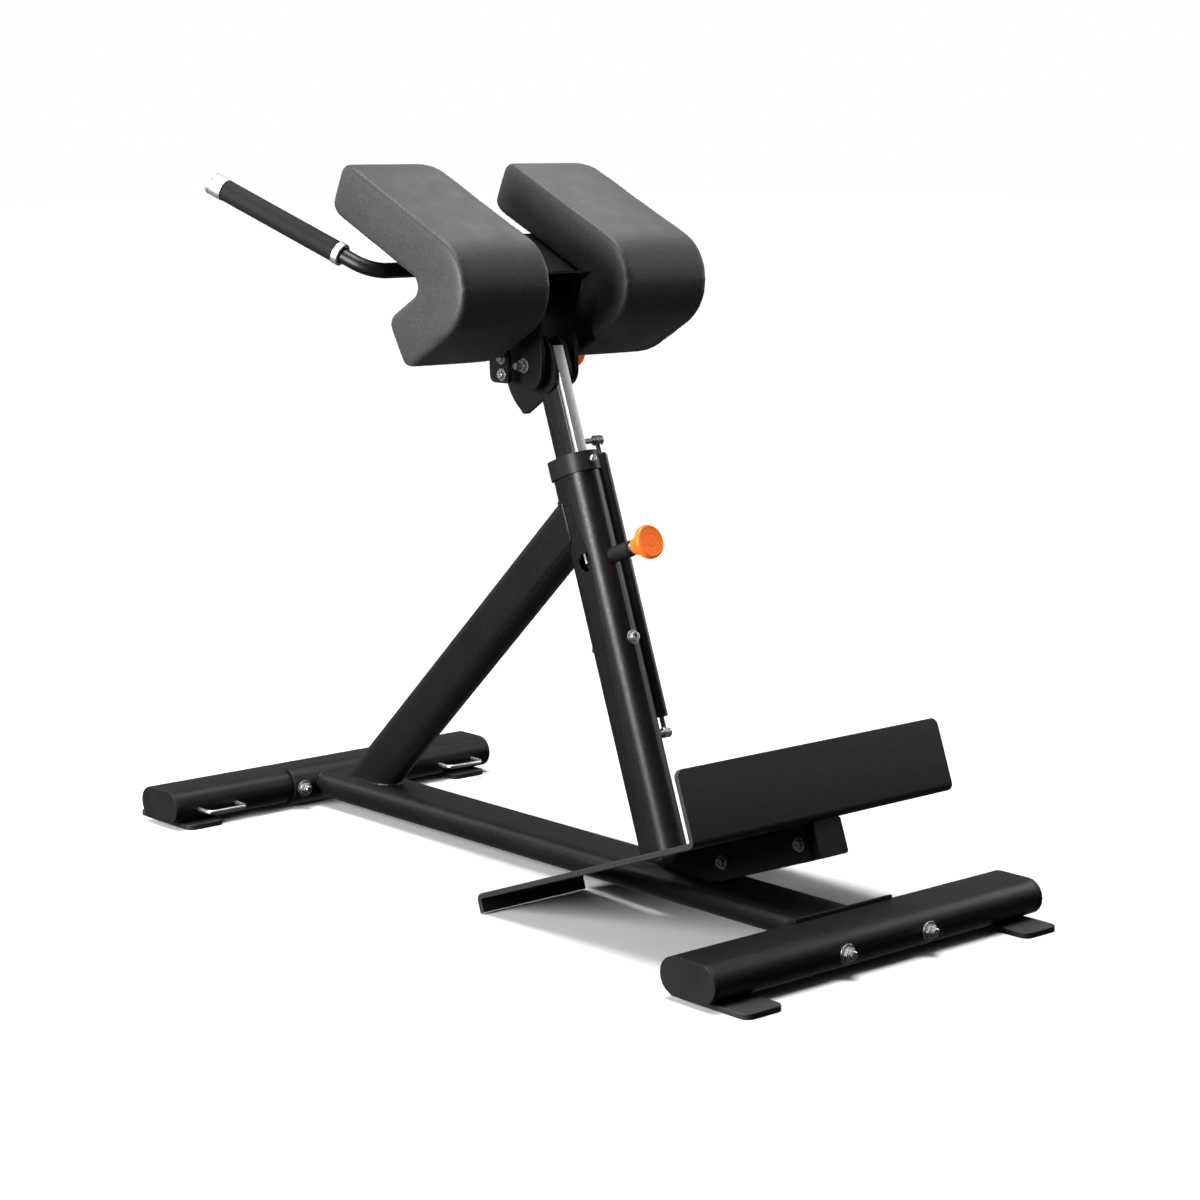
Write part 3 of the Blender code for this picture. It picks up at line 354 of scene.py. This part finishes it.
# Bolts: direction of the head, shank radius, how far the washers reach, and the thread past the nut
BOLTS = {
    "rear_bar_bolt_left": (X, 0.006, 0.0129, 0.006), "rear_bar_bolt_right": (X, 0.006, 0.0129, 0.006),
    "front_bar_bolt_left": (X, 0.006, 0.0129, 0.006), "front_bar_bolt_right": (X, 0.006, 0.0129, 0.006),
    "foot_bolt_front": (Y, 0.005, 0.0100, 0.006), "foot_bolt_rear": (Y, 0.005, 0.0100, 0.006),
    "pivot_bolt": (-Y, 0.0055, 0.0105, 0.010), "stop_bolt": (-MAST_FORWARD, 0.005, 0.0102, 0.004),
    "ear_bolt_upper_left": (Y, 0.004, 0.0092, 0.002), "ear_bolt_lower_left": (Y, 0.004, 0.0092, 0.002),
    "ear_bolt_upper_right": (-Y, 0.004, 0.0092, 0.002), "ear_bolt_lower_right": (-Y, 0.004, 0.0092, 0.002),
}


def hexagon(shape, across, low, high):
    """A six-sided nut blank with its outer corners turned off."""
    corner = across / cos(pi / 6)
    chamfer = (corner - across) * 0.8
    levels = [(across * 0.985, low), (corner, low + chamfer), (corner, high - chamfer), (across * 0.985, high)]
    rings = []
    corners = [(cos(pi / 3 * i), sin(pi / 3 * i)) for i in range(6)]
    for reach, height in levels:
        rings.append([shape.verts.new((reach * x, reach * y, height)) for x, y in corners])
    for lower, upper in zip(rings, rings[1:]):
        for i in range(6):
            shape.faces.new((lower[i], lower[(i + 1) % 6], upper[(i + 1) % 6], upper[i]))
    shape.faces.new(rings[-1])
    shape.faces.new(list(reversed(rings[0])))


def socket_head(shape, reach, low, high):
    """A round head with a six-sided socket sunk in its top."""
    steps, socket = 48, reach * 0.50
    depth = (high - low) * 0.6
    profile = softened([(reach, low), (reach, high), (socket * 1.25, high)], 0.0011, 4)
    rings = []
    for radius, height in profile:
        turn = [2 * pi * i / steps for i in range(steps)]
        rings.append([shape.verts.new((radius * cos(a), radius * sin(a), height)) for a in turn])

    def six_sided(across, height):
        ring = []
        for i in range(steps):
            angle = 2 * pi * i / steps
            away = across / cos((angle + pi / 6) % (pi / 3) - pi / 6)
            ring.append(shape.verts.new((away * cos(angle), away * sin(angle), height)))
        return ring

    rings.append(six_sided(socket * 1.02, high - 0.0001))
    rings.append(six_sided(socket * 0.96, high - 0.0006))
    rings.append(six_sided(socket * 0.94, high - depth))
    for lower, upper in zip(rings, rings[1:]):
        for i in range(steps):
            j = (i + 1) % steps
            shape.faces.new((lower[i], lower[j], upper[j], upper[i]))
    shape.faces.new(rings[-1])
    shape.faces.new(list(reversed(rings[0])))


def bolt(node, direction, radius, washer, tail):
    matrix, length = axis_frame(node, direction)
    thin, tall, head = radius * 0.35, radius * 1.15, radius * 1.40
    shape = bmesh.new()
    socket_head(shape, head, -tall, 0)
    ring = softened([(0, 0), (washer, 0), (washer, -thin), (0, -thin)], 0.0004)
    lathe(shape, ring, at=-tall)
    far = -length + tail + tall + thin
    lathe(shape, [(radius * 0.97, -tall - thin), (radius * 0.97, far)])
    lathe(shape, ring, at=far)
    hexagon(shape, radius * 1.38, far - thin - tall, far - thin)
    thread = [(radius * 0.93, far - thin - tall)]
    pitch = 0.0012
    turns = int((tail - 0.001) / pitch)
    for i in range(turns):
        top = far - thin - tall - i * pitch
        thread += [(radius * 0.86, top - pitch * 0.35), (radius * 0.97, top - pitch * 0.85)]
    thread += [(radius * 0.8, -length + 0.0002), (0, -length + 0.0002)]
    lathe(shape, thread)
    add_piece(f"{node}_fine", mesh_of(shape), matrix, "zinc_steel", BODY_OF[node], [node], 30)


def knob(node, direction):
    """A pull knob: a flared neck under a flat disc with a shallow ring in its face."""
    matrix, length = axis_frame(node, direction)
    profile = [
        (0, -0.0006), (0.0086, -0.0006), (0.0093, -0.0011), (0.0100, -0.0006), (0.0196, -0.0006), (0.0206, 0.0),
        (0.0222, -0.0004), (0.0238, -0.0022), (0.0244, -0.0056), (0.0240, -0.0092), (0.0218, -0.0130),
        (0.0182, -0.0168), (0.0158, -0.0205), (0.0142, -0.0245), (0.0128, -0.0300), (0.0120, -length + 0.0006),
        (0.0112, -length), (0.0054, -length),
    ]
    shape = bmesh.new()
    lathe(shape, softened(profile, 0.0012), 72)
    add_piece(f"{node}_fine", mesh_of(shape), matrix, "orange_plastic", BODY_OF[node], [node], 50)


# Handles
TUBE_RADIUS = 0.011
BEND_RADIUS = 0.042
GRIP_RADIUS = 0.0155
BAND_RADIUS = 0.0165
SLEEVE = TUBE_RADIUS + 0.0003


def grip_axis(side):
    """A point on the grip's axis and its direction out to the free end."""
    points = np.array([v.co for v in nodes[f"hand_grip_{side}"].data.vertices])
    centre = points.mean(axis=0)
    spread = np.linalg.eigh(np.cov((points - centre).T))[1]
    direction = Vector(spread[:, 2])
    if direction.z < 0:
        direction = -direction
    return Vector(centre), direction


def turned_sleeve(node, direction, profile, slot, angle=40):
    matrix, _ = axis_frame(node, direction)
    shape = bmesh.new()
    lathe(shape, profile, 64)
    add_piece(f"{node}_fine", mesh_of(shape), matrix, slot, BODY_OF[node], [node], angle)


def handles():
    points = np.array([v.co for v in nodes["handle_tube"].data.vertices])
    middle = points[np.abs(points[:, 1]) < points[:, 1].max() * 0.62]
    low, high = middle.min(axis=0), middle.max(axis=0)
    across_x, across_z = (low[0] + high[0]) / 2, (low[2] + high[2]) / 2
    route = []
    for word, side in (("right", -1), ("left", 1)):
        centre, out = grip_axis(word)
        elbow = centre + out * ((across_x - centre.x) / out.x)
        elbow.x, elbow.z = across_x, across_z
        back = Vector((0, -side, 0))
        half = back.angle(out) / 2
        hub = elbow + (back + out).normalized() * (BEND_RADIUS / sin(half))
        first = elbow + back * (BEND_RADIUS / tan(half)) - hub
        last = elbow + out * (BEND_RADIUS / tan(half)) - hub
        axis = first.cross(last).normalized()
        sweep = first.angle(last)
        bend = [hub + Matrix.Rotation(sweep * i / 16, 3, axis) @ first for i in range(17)]
        cap, thick = axis_frame(f"grip_cap_{word}", out)
        bend.append(cap.translation - out * (thick * 0.3))
        route = list(reversed(bend)) + route if side < 0 else route + bend
        wide = BAND_RADIUS
        profile = softened([
            (0, -0.0011), (wide - 0.0062, -0.0011), (wide - 0.0056, 0.0), (wide - 0.0012, 0.0),
            (wide, -0.0014), (wide, -0.0062), (wide - 0.0006, -0.0066), (wide - 0.0006, -0.0074),
            (wide, -0.0078), (wide, -thick + 0.0006), (wide - 0.0008, -thick), (SLEEVE, -thick),
        ], 0.0006)
        turned_sleeve(f"grip_cap_{word}", out, profile, "aluminium")
        _, thick = axis_frame(f"grip_ring_{word}", out)
        profile = softened([
            (SLEEVE, 0.0), (wide - 0.0006, 0.0), (wide, -0.0006), (wide, -thick + 0.0012),
            (wide - 0.0012, -thick), (SLEEVE + 0.0012, -thick), (SLEEVE, -thick + 0.0012),
        ], 0.0005)
        turned_sleeve(f"grip_ring_{word}", out, profile, "aluminium")
        _, thick = axis_frame(f"hand_grip_{word}", out)
        reach = GRIP_RADIUS
        profile = softened([(SLEEVE, 0.0), (reach - 0.0008, 0.0), (reach, -0.0012), (reach, -thick / 2),
                            (reach, -thick + 0.0012), (reach - 0.0008, -thick), (SLEEVE, -thick)], 0.0008)
        turned_sleeve(f"hand_grip_{word}", out, profile, "grip_rubber")
    tube("handle_tube_fine", route, TUBE_RADIUS, "frame_paint", "pad_head", ["handle_tube"], sides=8)


def tube(name, route, radius, slot, body, replaced=(), sides=4, swell=None, cyclic=False):
    """A round bar along points.  swell scales its radius at each point."""
    curve = bpy.data.curves.new(name, "CURVE")
    curve.dimensions = "3D"
    curve.bevel_depth = radius
    curve.bevel_resolution = sides
    curve.use_fill_caps = True
    spline = curve.splines.new("POLY")
    spline.points.add(len(route) - 1)
    for i, (point, place) in enumerate(zip(spline.points, route)):
        point.co = (*place, 1)
        point.radius = swell[i] if swell else 1.0
    spline.use_cyclic_u = cyclic
    source = bpy.data.objects.new(name + "_line", curve)
    bpy.context.scene.collection.objects.link(source)
    graph = bpy.context.evaluated_depsgraph_get()
    mesh = bpy.data.meshes.new_from_object(source.evaluated_get(graph))
    bpy.data.objects.remove(source, do_unlink=True)
    shape = bmesh.new()
    shape.from_mesh(mesh)
    bmesh.ops.remove_doubles(shape, verts=shape.verts, dist=1e-6)
    bmesh.ops.recalc_face_normals(shape, faces=shape.faces)
    shape.to_mesh(mesh)
    shape.free()
    return add_piece(name, mesh, Matrix(), slot, body, replaced)


# Weld beads, laid where one member's outline meets another's surface
def obround(width, height, count):
    """Evenly spaced points round a flat-sided oval, width along x."""
    radius, reach = min(width, height) / 2, abs(width - height) / 2
    total = 2 * pi * radius + 4 * reach
    points = []
    for i in range(count):
        run = total * i / count
        if run < pi * radius:
            angle = run / radius - pi / 2
            points.append((reach + radius * cos(angle), radius * sin(angle)))
        elif run < pi * radius + 2 * reach:
            points.append((reach - (run - pi * radius), radius))
        elif run < 2 * pi * radius + 2 * reach:
            angle = (run - pi * radius - 2 * reach) / radius + pi / 2
            points.append((-reach + radius * cos(angle), radius * sin(angle)))
        else:
            points.append((-reach + (run - 2 * pi * radius - 2 * reach), -radius))
    return points


def surface(node):
    mesh = nodes[node].data
    return BVHTree.FromPolygons([v.co for v in mesh.vertices], [p.vertices for p in mesh.polygons])


def weld(name, outline, origin, across, up, onto, body="frame", radius=0.0026):
    """A rippled bead where an outline, carried along its axis, lands on another node."""
    direction = across.cross(up).normalized()
    target = surface(onto)
    path = []
    for x, y in outline:
        hit = target.ray_cast(origin + across * x + up * y, direction)[0]
        if hit:
            path.append(hit)
    swell = [1.0 + 0.10 * sin(2.1 * i) for i in range(len(path))]
    tube(name, path, radius, "frame_paint", body, sides=2, swell=swell, cyclic=True)


MAST_HALF = 0.0386


def mast_centre(along):
    """The point on the outer mast's axis that lies this share of the way up it."""
    low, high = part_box("outer_mast")
    top = Vector((high.x - MAST_HALF * MAST_FORWARD.x, 0, high.z + MAST_HALF * MAST_FORWARD.z))
    return top - MAST_UP * (1 - along) * ((high.z - low.z) / MAST_UP.z)


BRACE_ANGLE = radians(42.95)
BRACE_RISE = Vector((sin(BRACE_ANGLE), 0, cos(BRACE_ANGLE)))


def brace_centre():
    """A point on the brace's axis, half way between its two long edges."""
    points = np.array([v.co for v in nodes["brace"].data.vertices])
    middle = (points.max(axis=0) + points.min(axis=0)) / 2
    across = points @ np.array(BRACE_RISE)
    return Vector(middle) + BRACE_RISE * ((across.max() + across.min()) / 2 - middle @ np.array(BRACE_RISE))


def welds():
    outline = obround(0.0790, 0.0487, 110)
    weld("mast_weld", outline, mast_centre(0.5), MAST_FORWARD, -Y, "base_tube")
    outline = obround(0.0811, 0.0495, 110)
    weld("brace_foot_weld", outline, brace_centre(), BRACE_RISE, -Y, "base_tube")
    weld("brace_top_weld", outline, brace_centre(), BRACE_RISE, Y, "outer_mast")


# Height numbers behind the mast's window
NUMBER_COUNT = 5
NUMBER_HEIGHT = 0.013
NUMBER_STEP = 0.028
NUMBER_ALONG = 0.4370
NUMBER_FORWARD = 0.0105
MAST_FOOT = Vector((-0.2235, 0.0, 0.060))


def numbers():
    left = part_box("inner_mast")[1].y
    for i in range(NUMBER_COUNT):
        text = bpy.data.curves.new(f"number_{i + 1}", "FONT")
        text.body = str(i + 1)
        text.size = NUMBER_HEIGHT / 0.7
        text.align_x = "CENTER"
        text.align_y = "CENTER"
        text.extrude = 0.0001
        text.offset = 0.0008
        text.resolution_u = 4
        source = bpy.data.objects.new("number_source", text)
        bpy.context.scene.collection.objects.link(source)
        graph = bpy.context.evaluated_depsgraph_get()
        mesh = bpy.data.meshes.new_from_object(source.evaluated_get(graph))
        bpy.data.objects.remove(source, do_unlink=True)
        centre = MAST_FOOT + MAST_UP * (NUMBER_ALONG - i * NUMBER_STEP) + MAST_FORWARD * NUMBER_FORWARD
        centre.y = left + 0.00015
        turn = Matrix([(-MAST_FORWARD.x, MAST_UP.x, 0), (0, 0, 1), (-MAST_FORWARD.z, MAST_UP.z, 0)])
        matrix = Matrix.Translation(centre) @ turn.to_4x4()
        add_piece(f"number_{i + 1}", mesh, matrix, "white_ink_painted_glow", "slider")


# Pads
PAD_VOXEL = 0.0045
PAD_SHRINK = 0.0006
PAD_SWELL = 0.0036
PAD_SWELL_ON_BOARD = 0.0014
PAD_CORNERS = {1: 0.006, -1: 0.038}  # radius on each pad's left and right
LIMB_REACH = 0.10
HELD_WITHIN, FREE_BEYOND = 0.004, 0.024
EVENING = 60
NOSE = Vector((0.007, 0.0, 0.852))
UPPER_LIMB = radians(25.0)
LOWER_LIMB = radians(-30.0)


def corner_cutter(end, across, along, out, side):
    """What lies outside one rounded corner of a pad, as seen square to its limb."""
    radius = PAD_CORNERS[side[1]]
    margin, steps = 0.02, 10
    outline = [(end + margin, across + margin), (end + margin, across - radius)]
    for i in range(steps + 1):
        angle = pi / 2 * i / steps
        outline.append((end - radius * (1 - cos(angle)), across - radius * (1 - sin(angle))))
    outline.append((end - radius, across + margin))
    shape = bmesh.new()
    layers = []
    for height in (-LIMB_REACH, LIMB_REACH):
        layers.append([shape.verts.new(NOSE + along * x + out * height + Y * (side[0] + side[1] * y))
                       for x, y in outline])
    count = len(outline)
    for i in range(count):
        j = (i + 1) % count
        shape.faces.new((layers[0][i], layers[0][j], layers[1][j], layers[1][i]))
    shape.faces.new(layers[1])
    shape.faces.new(list(reversed(layers[0])))
    return mesh_of(shape)


def trimmed(skin, node):
    """Cuts the four corners of a pad's two ends round."""
    low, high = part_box(node)
    middle, half = (low.y + high.y) / 2, (high.y - low.y) / 2
    points = [Vector(v.co) - NOSE for v in nodes[node].data.vertices]
    cutters = []
    for angle in (UPPER_LIMB, LOWER_LIMB):
        along = Vector((cos(angle), 0, sin(angle)))
        out = Vector((-sin(angle), 0, cos(angle)))
        end = max(point.dot(along) for point in points if abs(point.dot(out)) < LIMB_REACH)
        for way in (1, -1):
            tool = bpy.data.objects.new("corner", corner_cutter(end, half, along, out, (middle, way)))
            bpy.context.scene.collection.objects.link(tool)
            cut = skin.modifiers.new("Corner", "BOOLEAN")
            cut.operation = "DIFFERENCE"
            cut.solver = "EXACT"
            cut.object = tool
            cutters.append(tool)
    return cutters


def remeshed(node):
    """The CAD pad as an even skin, with its ends' corners cut round and its facets smoothed away."""
    skin = bpy.data.objects.new(f"{node}_skin", nodes[node].data.copy())
    bpy.context.scene.collection.objects.link(skin)
    cutters = trimmed(skin, node)
    remesh = skin.modifiers.new("Remesh", "REMESH")
    remesh.mode = "VOXEL"
    remesh.voxel_size = PAD_VOXEL
    graph = bpy.context.evaluated_depsgraph_get()
    mesh = bpy.data.meshes.new_from_object(skin.evaluated_get(graph))
    for made in [skin] + cutters:
        bpy.data.objects.remove(made, do_unlink=True)
    shape = bmesh.new()
    shape.from_mesh(mesh)
    for _ in range(5):
        bmesh.ops.smooth_vert(shape, verts=shape.verts, factor=0.5, use_axis_x=True, use_axis_y=True,
                              use_axis_z=True)
    shape.to_mesh(mesh)
    shape.free()
    return mesh


def coordinates(mesh):
    points = np.empty(len(mesh.vertices) * 3, np.float32)
    mesh.vertices.foreach_get("co", points)
    return points.reshape(-1, 3).astype(float)


def evened(amounts, edges, rounds):
    """Each vertex's amount, averaged over and over with its neighbours'."""
    degree = np.bincount(edges.ravel(), minlength=len(amounts))
    for _ in range(rounds):
        total = np.bincount(edges[:, 0], amounts[edges[:, 1]], len(amounts))
        total += np.bincount(edges[:, 1], amounts[edges[:, 0]], len(amounts))
        amounts = 0.5 * amounts + 0.5 * total / degree
    return amounts


def inflated(mesh):
    """The skin under a little pressure, as cloth."""
    skin = bpy.data.objects.new("pad_skin", mesh)
    bpy.context.scene.collection.objects.link(skin)
    cloth = skin.modifiers.new("Cloth", "CLOTH")
    cloth.settings.quality = 5
    cloth.settings.mass = 0.3
    cloth.settings.tension_stiffness = 25
    cloth.settings.compression_stiffness = 25
    cloth.settings.shear_stiffness = 10
    cloth.settings.bending_stiffness = 2.0
    cloth.settings.use_pressure = True
    cloth.settings.uniform_pressure_force = 4.0
    cloth.settings.effector_weights.gravity = 0.0
    cloth.collision_settings.use_self_collision = False
    cloth.collision_settings.use_collision = False
    scene = bpy.context.scene
    for number in range(1, 21):
        scene.frame_set(number)
    graph = bpy.context.evaluated_depsgraph_get()
    blown = bpy.data.meshes.new_from_object(skin.evaluated_get(graph))
    points = coordinates(blown)
    bpy.data.objects.remove(skin, do_unlink=True)
    scene.frame_set(1)
    return points


def plumped(mesh):
    """Lets the skin out along its normals as far as the inflated cloth went, less where the board holds it."""
    normals = np.empty(len(mesh.vertices) * 3, np.float32)
    mesh.vertices.foreach_get("normal", normals)
    normals = normals.reshape(-1, 3).astype(float)
    edges = np.empty(len(mesh.edges) * 2, np.int32)
    mesh.edges.foreach_get("vertices", edges)
    edges = edges.reshape(-1, 2)
    rest = coordinates(mesh)
    taut = rest - normals * PAD_SHRINK
    mesh.vertices.foreach_set("co", taut.ravel())
    out = ((inflated(mesh.copy()) - taut) * normals).sum(axis=1)
    board = surface("pad_yoke")
    distance = np.array([board.find_nearest(point)[3] for point in rest])
    free = np.clip((distance - HELD_WITHIN) / (FREE_BEYOND - HELD_WITHIN), 0.0, 1.0)
    out = np.clip(out, 0.0, PAD_SWELL_ON_BOARD + (PAD_SWELL - PAD_SWELL_ON_BOARD) * free)
    mesh.vertices.foreach_set("co", (taut + normals * evened(out, edges, EVENING)[:, None]).ravel())
    mesh.update()


def pad(node):
    mesh = remeshed(node)
    plumped(mesh)
    piece = add_piece(f"{node}_cover", mesh, Matrix(), "pad_vinyl", "pad_head", [node], 180)
    fine = piece.modifiers.new("Subdivision", "SUBSURF")
    fine.levels = fine.render_levels = 1


# Studio
def area_light(name, place, aim, size, brightness):
    """A softbox.  brightness is the radiance of its face, so it looks the same at any size."""
    data = bpy.data.lights.new(name, "AREA")
    data.shape = "RECTANGLE"
    data.size, data.size_y = size
    data.energy = brightness * pi * size[0] * size[1]
    light = bpy.data.objects.new(name, data)
    light.location = place
    light.rotation_mode = "QUATERNION"
    light.rotation_quaternion = (Vector(aim) - Vector(place)).to_track_quat("-Z", "Y")
    light.visible_camera = False
    bpy.context.scene.collection.objects.link(light)


def backdrop():
    """White behind the object; as a light it is dim, and brightest towards the front right."""
    world = bpy.data.worlds.new("studio")
    world.use_nodes = True
    tree = world.node_tree
    shade = tree.nodes["Background"]
    shade.inputs["Color"].default_value = (1, 1, 1, 1)
    place = tree.nodes.new("ShaderNodeTexCoord")
    facing = tree.nodes.new("ShaderNodeVectorMath")
    facing.operation = "DOT_PRODUCT"
    facing.inputs[1].default_value = (0.76, -0.64, 0.05)
    spread = tree.nodes.new("ShaderNodeMapRange")
    spread.interpolation_type = "SMOOTHSTEP"
    spread.inputs["From Min"].default_value = -0.3
    spread.inputs["From Max"].default_value = 1.0
    spread.inputs["To Min"].default_value = 0.010
    spread.inputs["To Max"].default_value = 0.17
    seen = tree.nodes.new("ShaderNodeLightPath")
    brighter = tree.nodes.new("ShaderNodeMath")
    brighter.operation = "MAXIMUM"
    tree.links.new(place.outputs["Generated"], facing.inputs[0])
    tree.links.new(facing.outputs["Value"], spread.inputs["Value"])
    tree.links.new(spread.outputs["Result"], brighter.inputs[0])
    tree.links.new(seen.outputs["Is Camera Ray"], brighter.inputs[1])
    tree.links.new(brighter.outputs["Value"], shade.inputs["Strength"])
    bpy.context.scene.world = world


def floor():
    mesh = bpy.data.meshes.new("floor")
    shape = bmesh.new()
    bmesh.ops.create_grid(shape, x_segments=1, y_segments=1, size=40.0)
    shape.to_mesh(mesh)
    shape.free()
    ground = bpy.data.objects.new("floor", mesh)
    bpy.context.scene.collection.objects.link(ground)
    pale = Material("studio_floor", 0.9)
    pale.colour(pale.noise(3.0, 2.0), grey(0.86), grey(0.88))
    pale.shader.inputs["Specular IOR Level"].default_value = 0.0
    mesh.materials.append(pale.made)
    ground.visible_diffuse = False
    ground.visible_glossy = False


def studio():
    bpy.context.scene.view_settings.view_transform = "Standard"
    backdrop()
    floor()
    data = bpy.data.lights.new("overhead", "SUN")
    data.energy = 3.7
    data.angle = radians(32.0)
    overhead = bpy.data.objects.new("overhead", data)
    overhead.rotation_mode = "QUATERNION"
    overhead.rotation_quaternion = Vector((-0.04, -0.06, -1.0)).to_track_quat("-Z", "Y")
    bpy.context.scene.collection.objects.link(overhead)
    area_light("left_softbox", (0.1, 2.9, 1.10), (0, 0, 0.75), (1.3, 1.5), 24.0)
    area_light("right_fill", (-0.7, -3.2, 1.6), (0, 0, 0.6), (1.8, 1.8), 3.5)
    area_light("front_fill", (3.0, 1.3, 2.0), (0, 0, 0.5), (1.8, 1.8), 1.5)
    area_light("top_softbox", (0.50, -0.85, 1.95), (0.08, -0.15, 0.95), (0.9, 0.8), 2.3)
    area_light("rear_right_strip", (-2.6, -2.5, 1.9), (0, 0, 0.5), (1.2, 1.8), 0.12)


def camera():
    data = bpy.data.cameras.new("camera")
    data.sensor_width = 36.0
    data.lens = 82.10
    made = bpy.data.objects.new("camera", data)
    made.location = (-2.9705, 2.5315, 1.0558)
    made.rotation_euler = (radians(90.0 - 9.55), 0.0, radians(-131.25))
    bpy.context.scene.collection.objects.link(made)
    bpy.context.scene.camera = made


for name, node in nodes.items():
    polish(name, node)
for name, settings in BOLTS.items():
    bolt(name, *settings)
knob("height_knob", -MAST_FORWARD)
knob("tilt_knob", -Y)
handles()
numbers()
welds()
for name in ("thigh_pad_left", "thigh_pad_right"):
    pad(name)
studio()
camera()
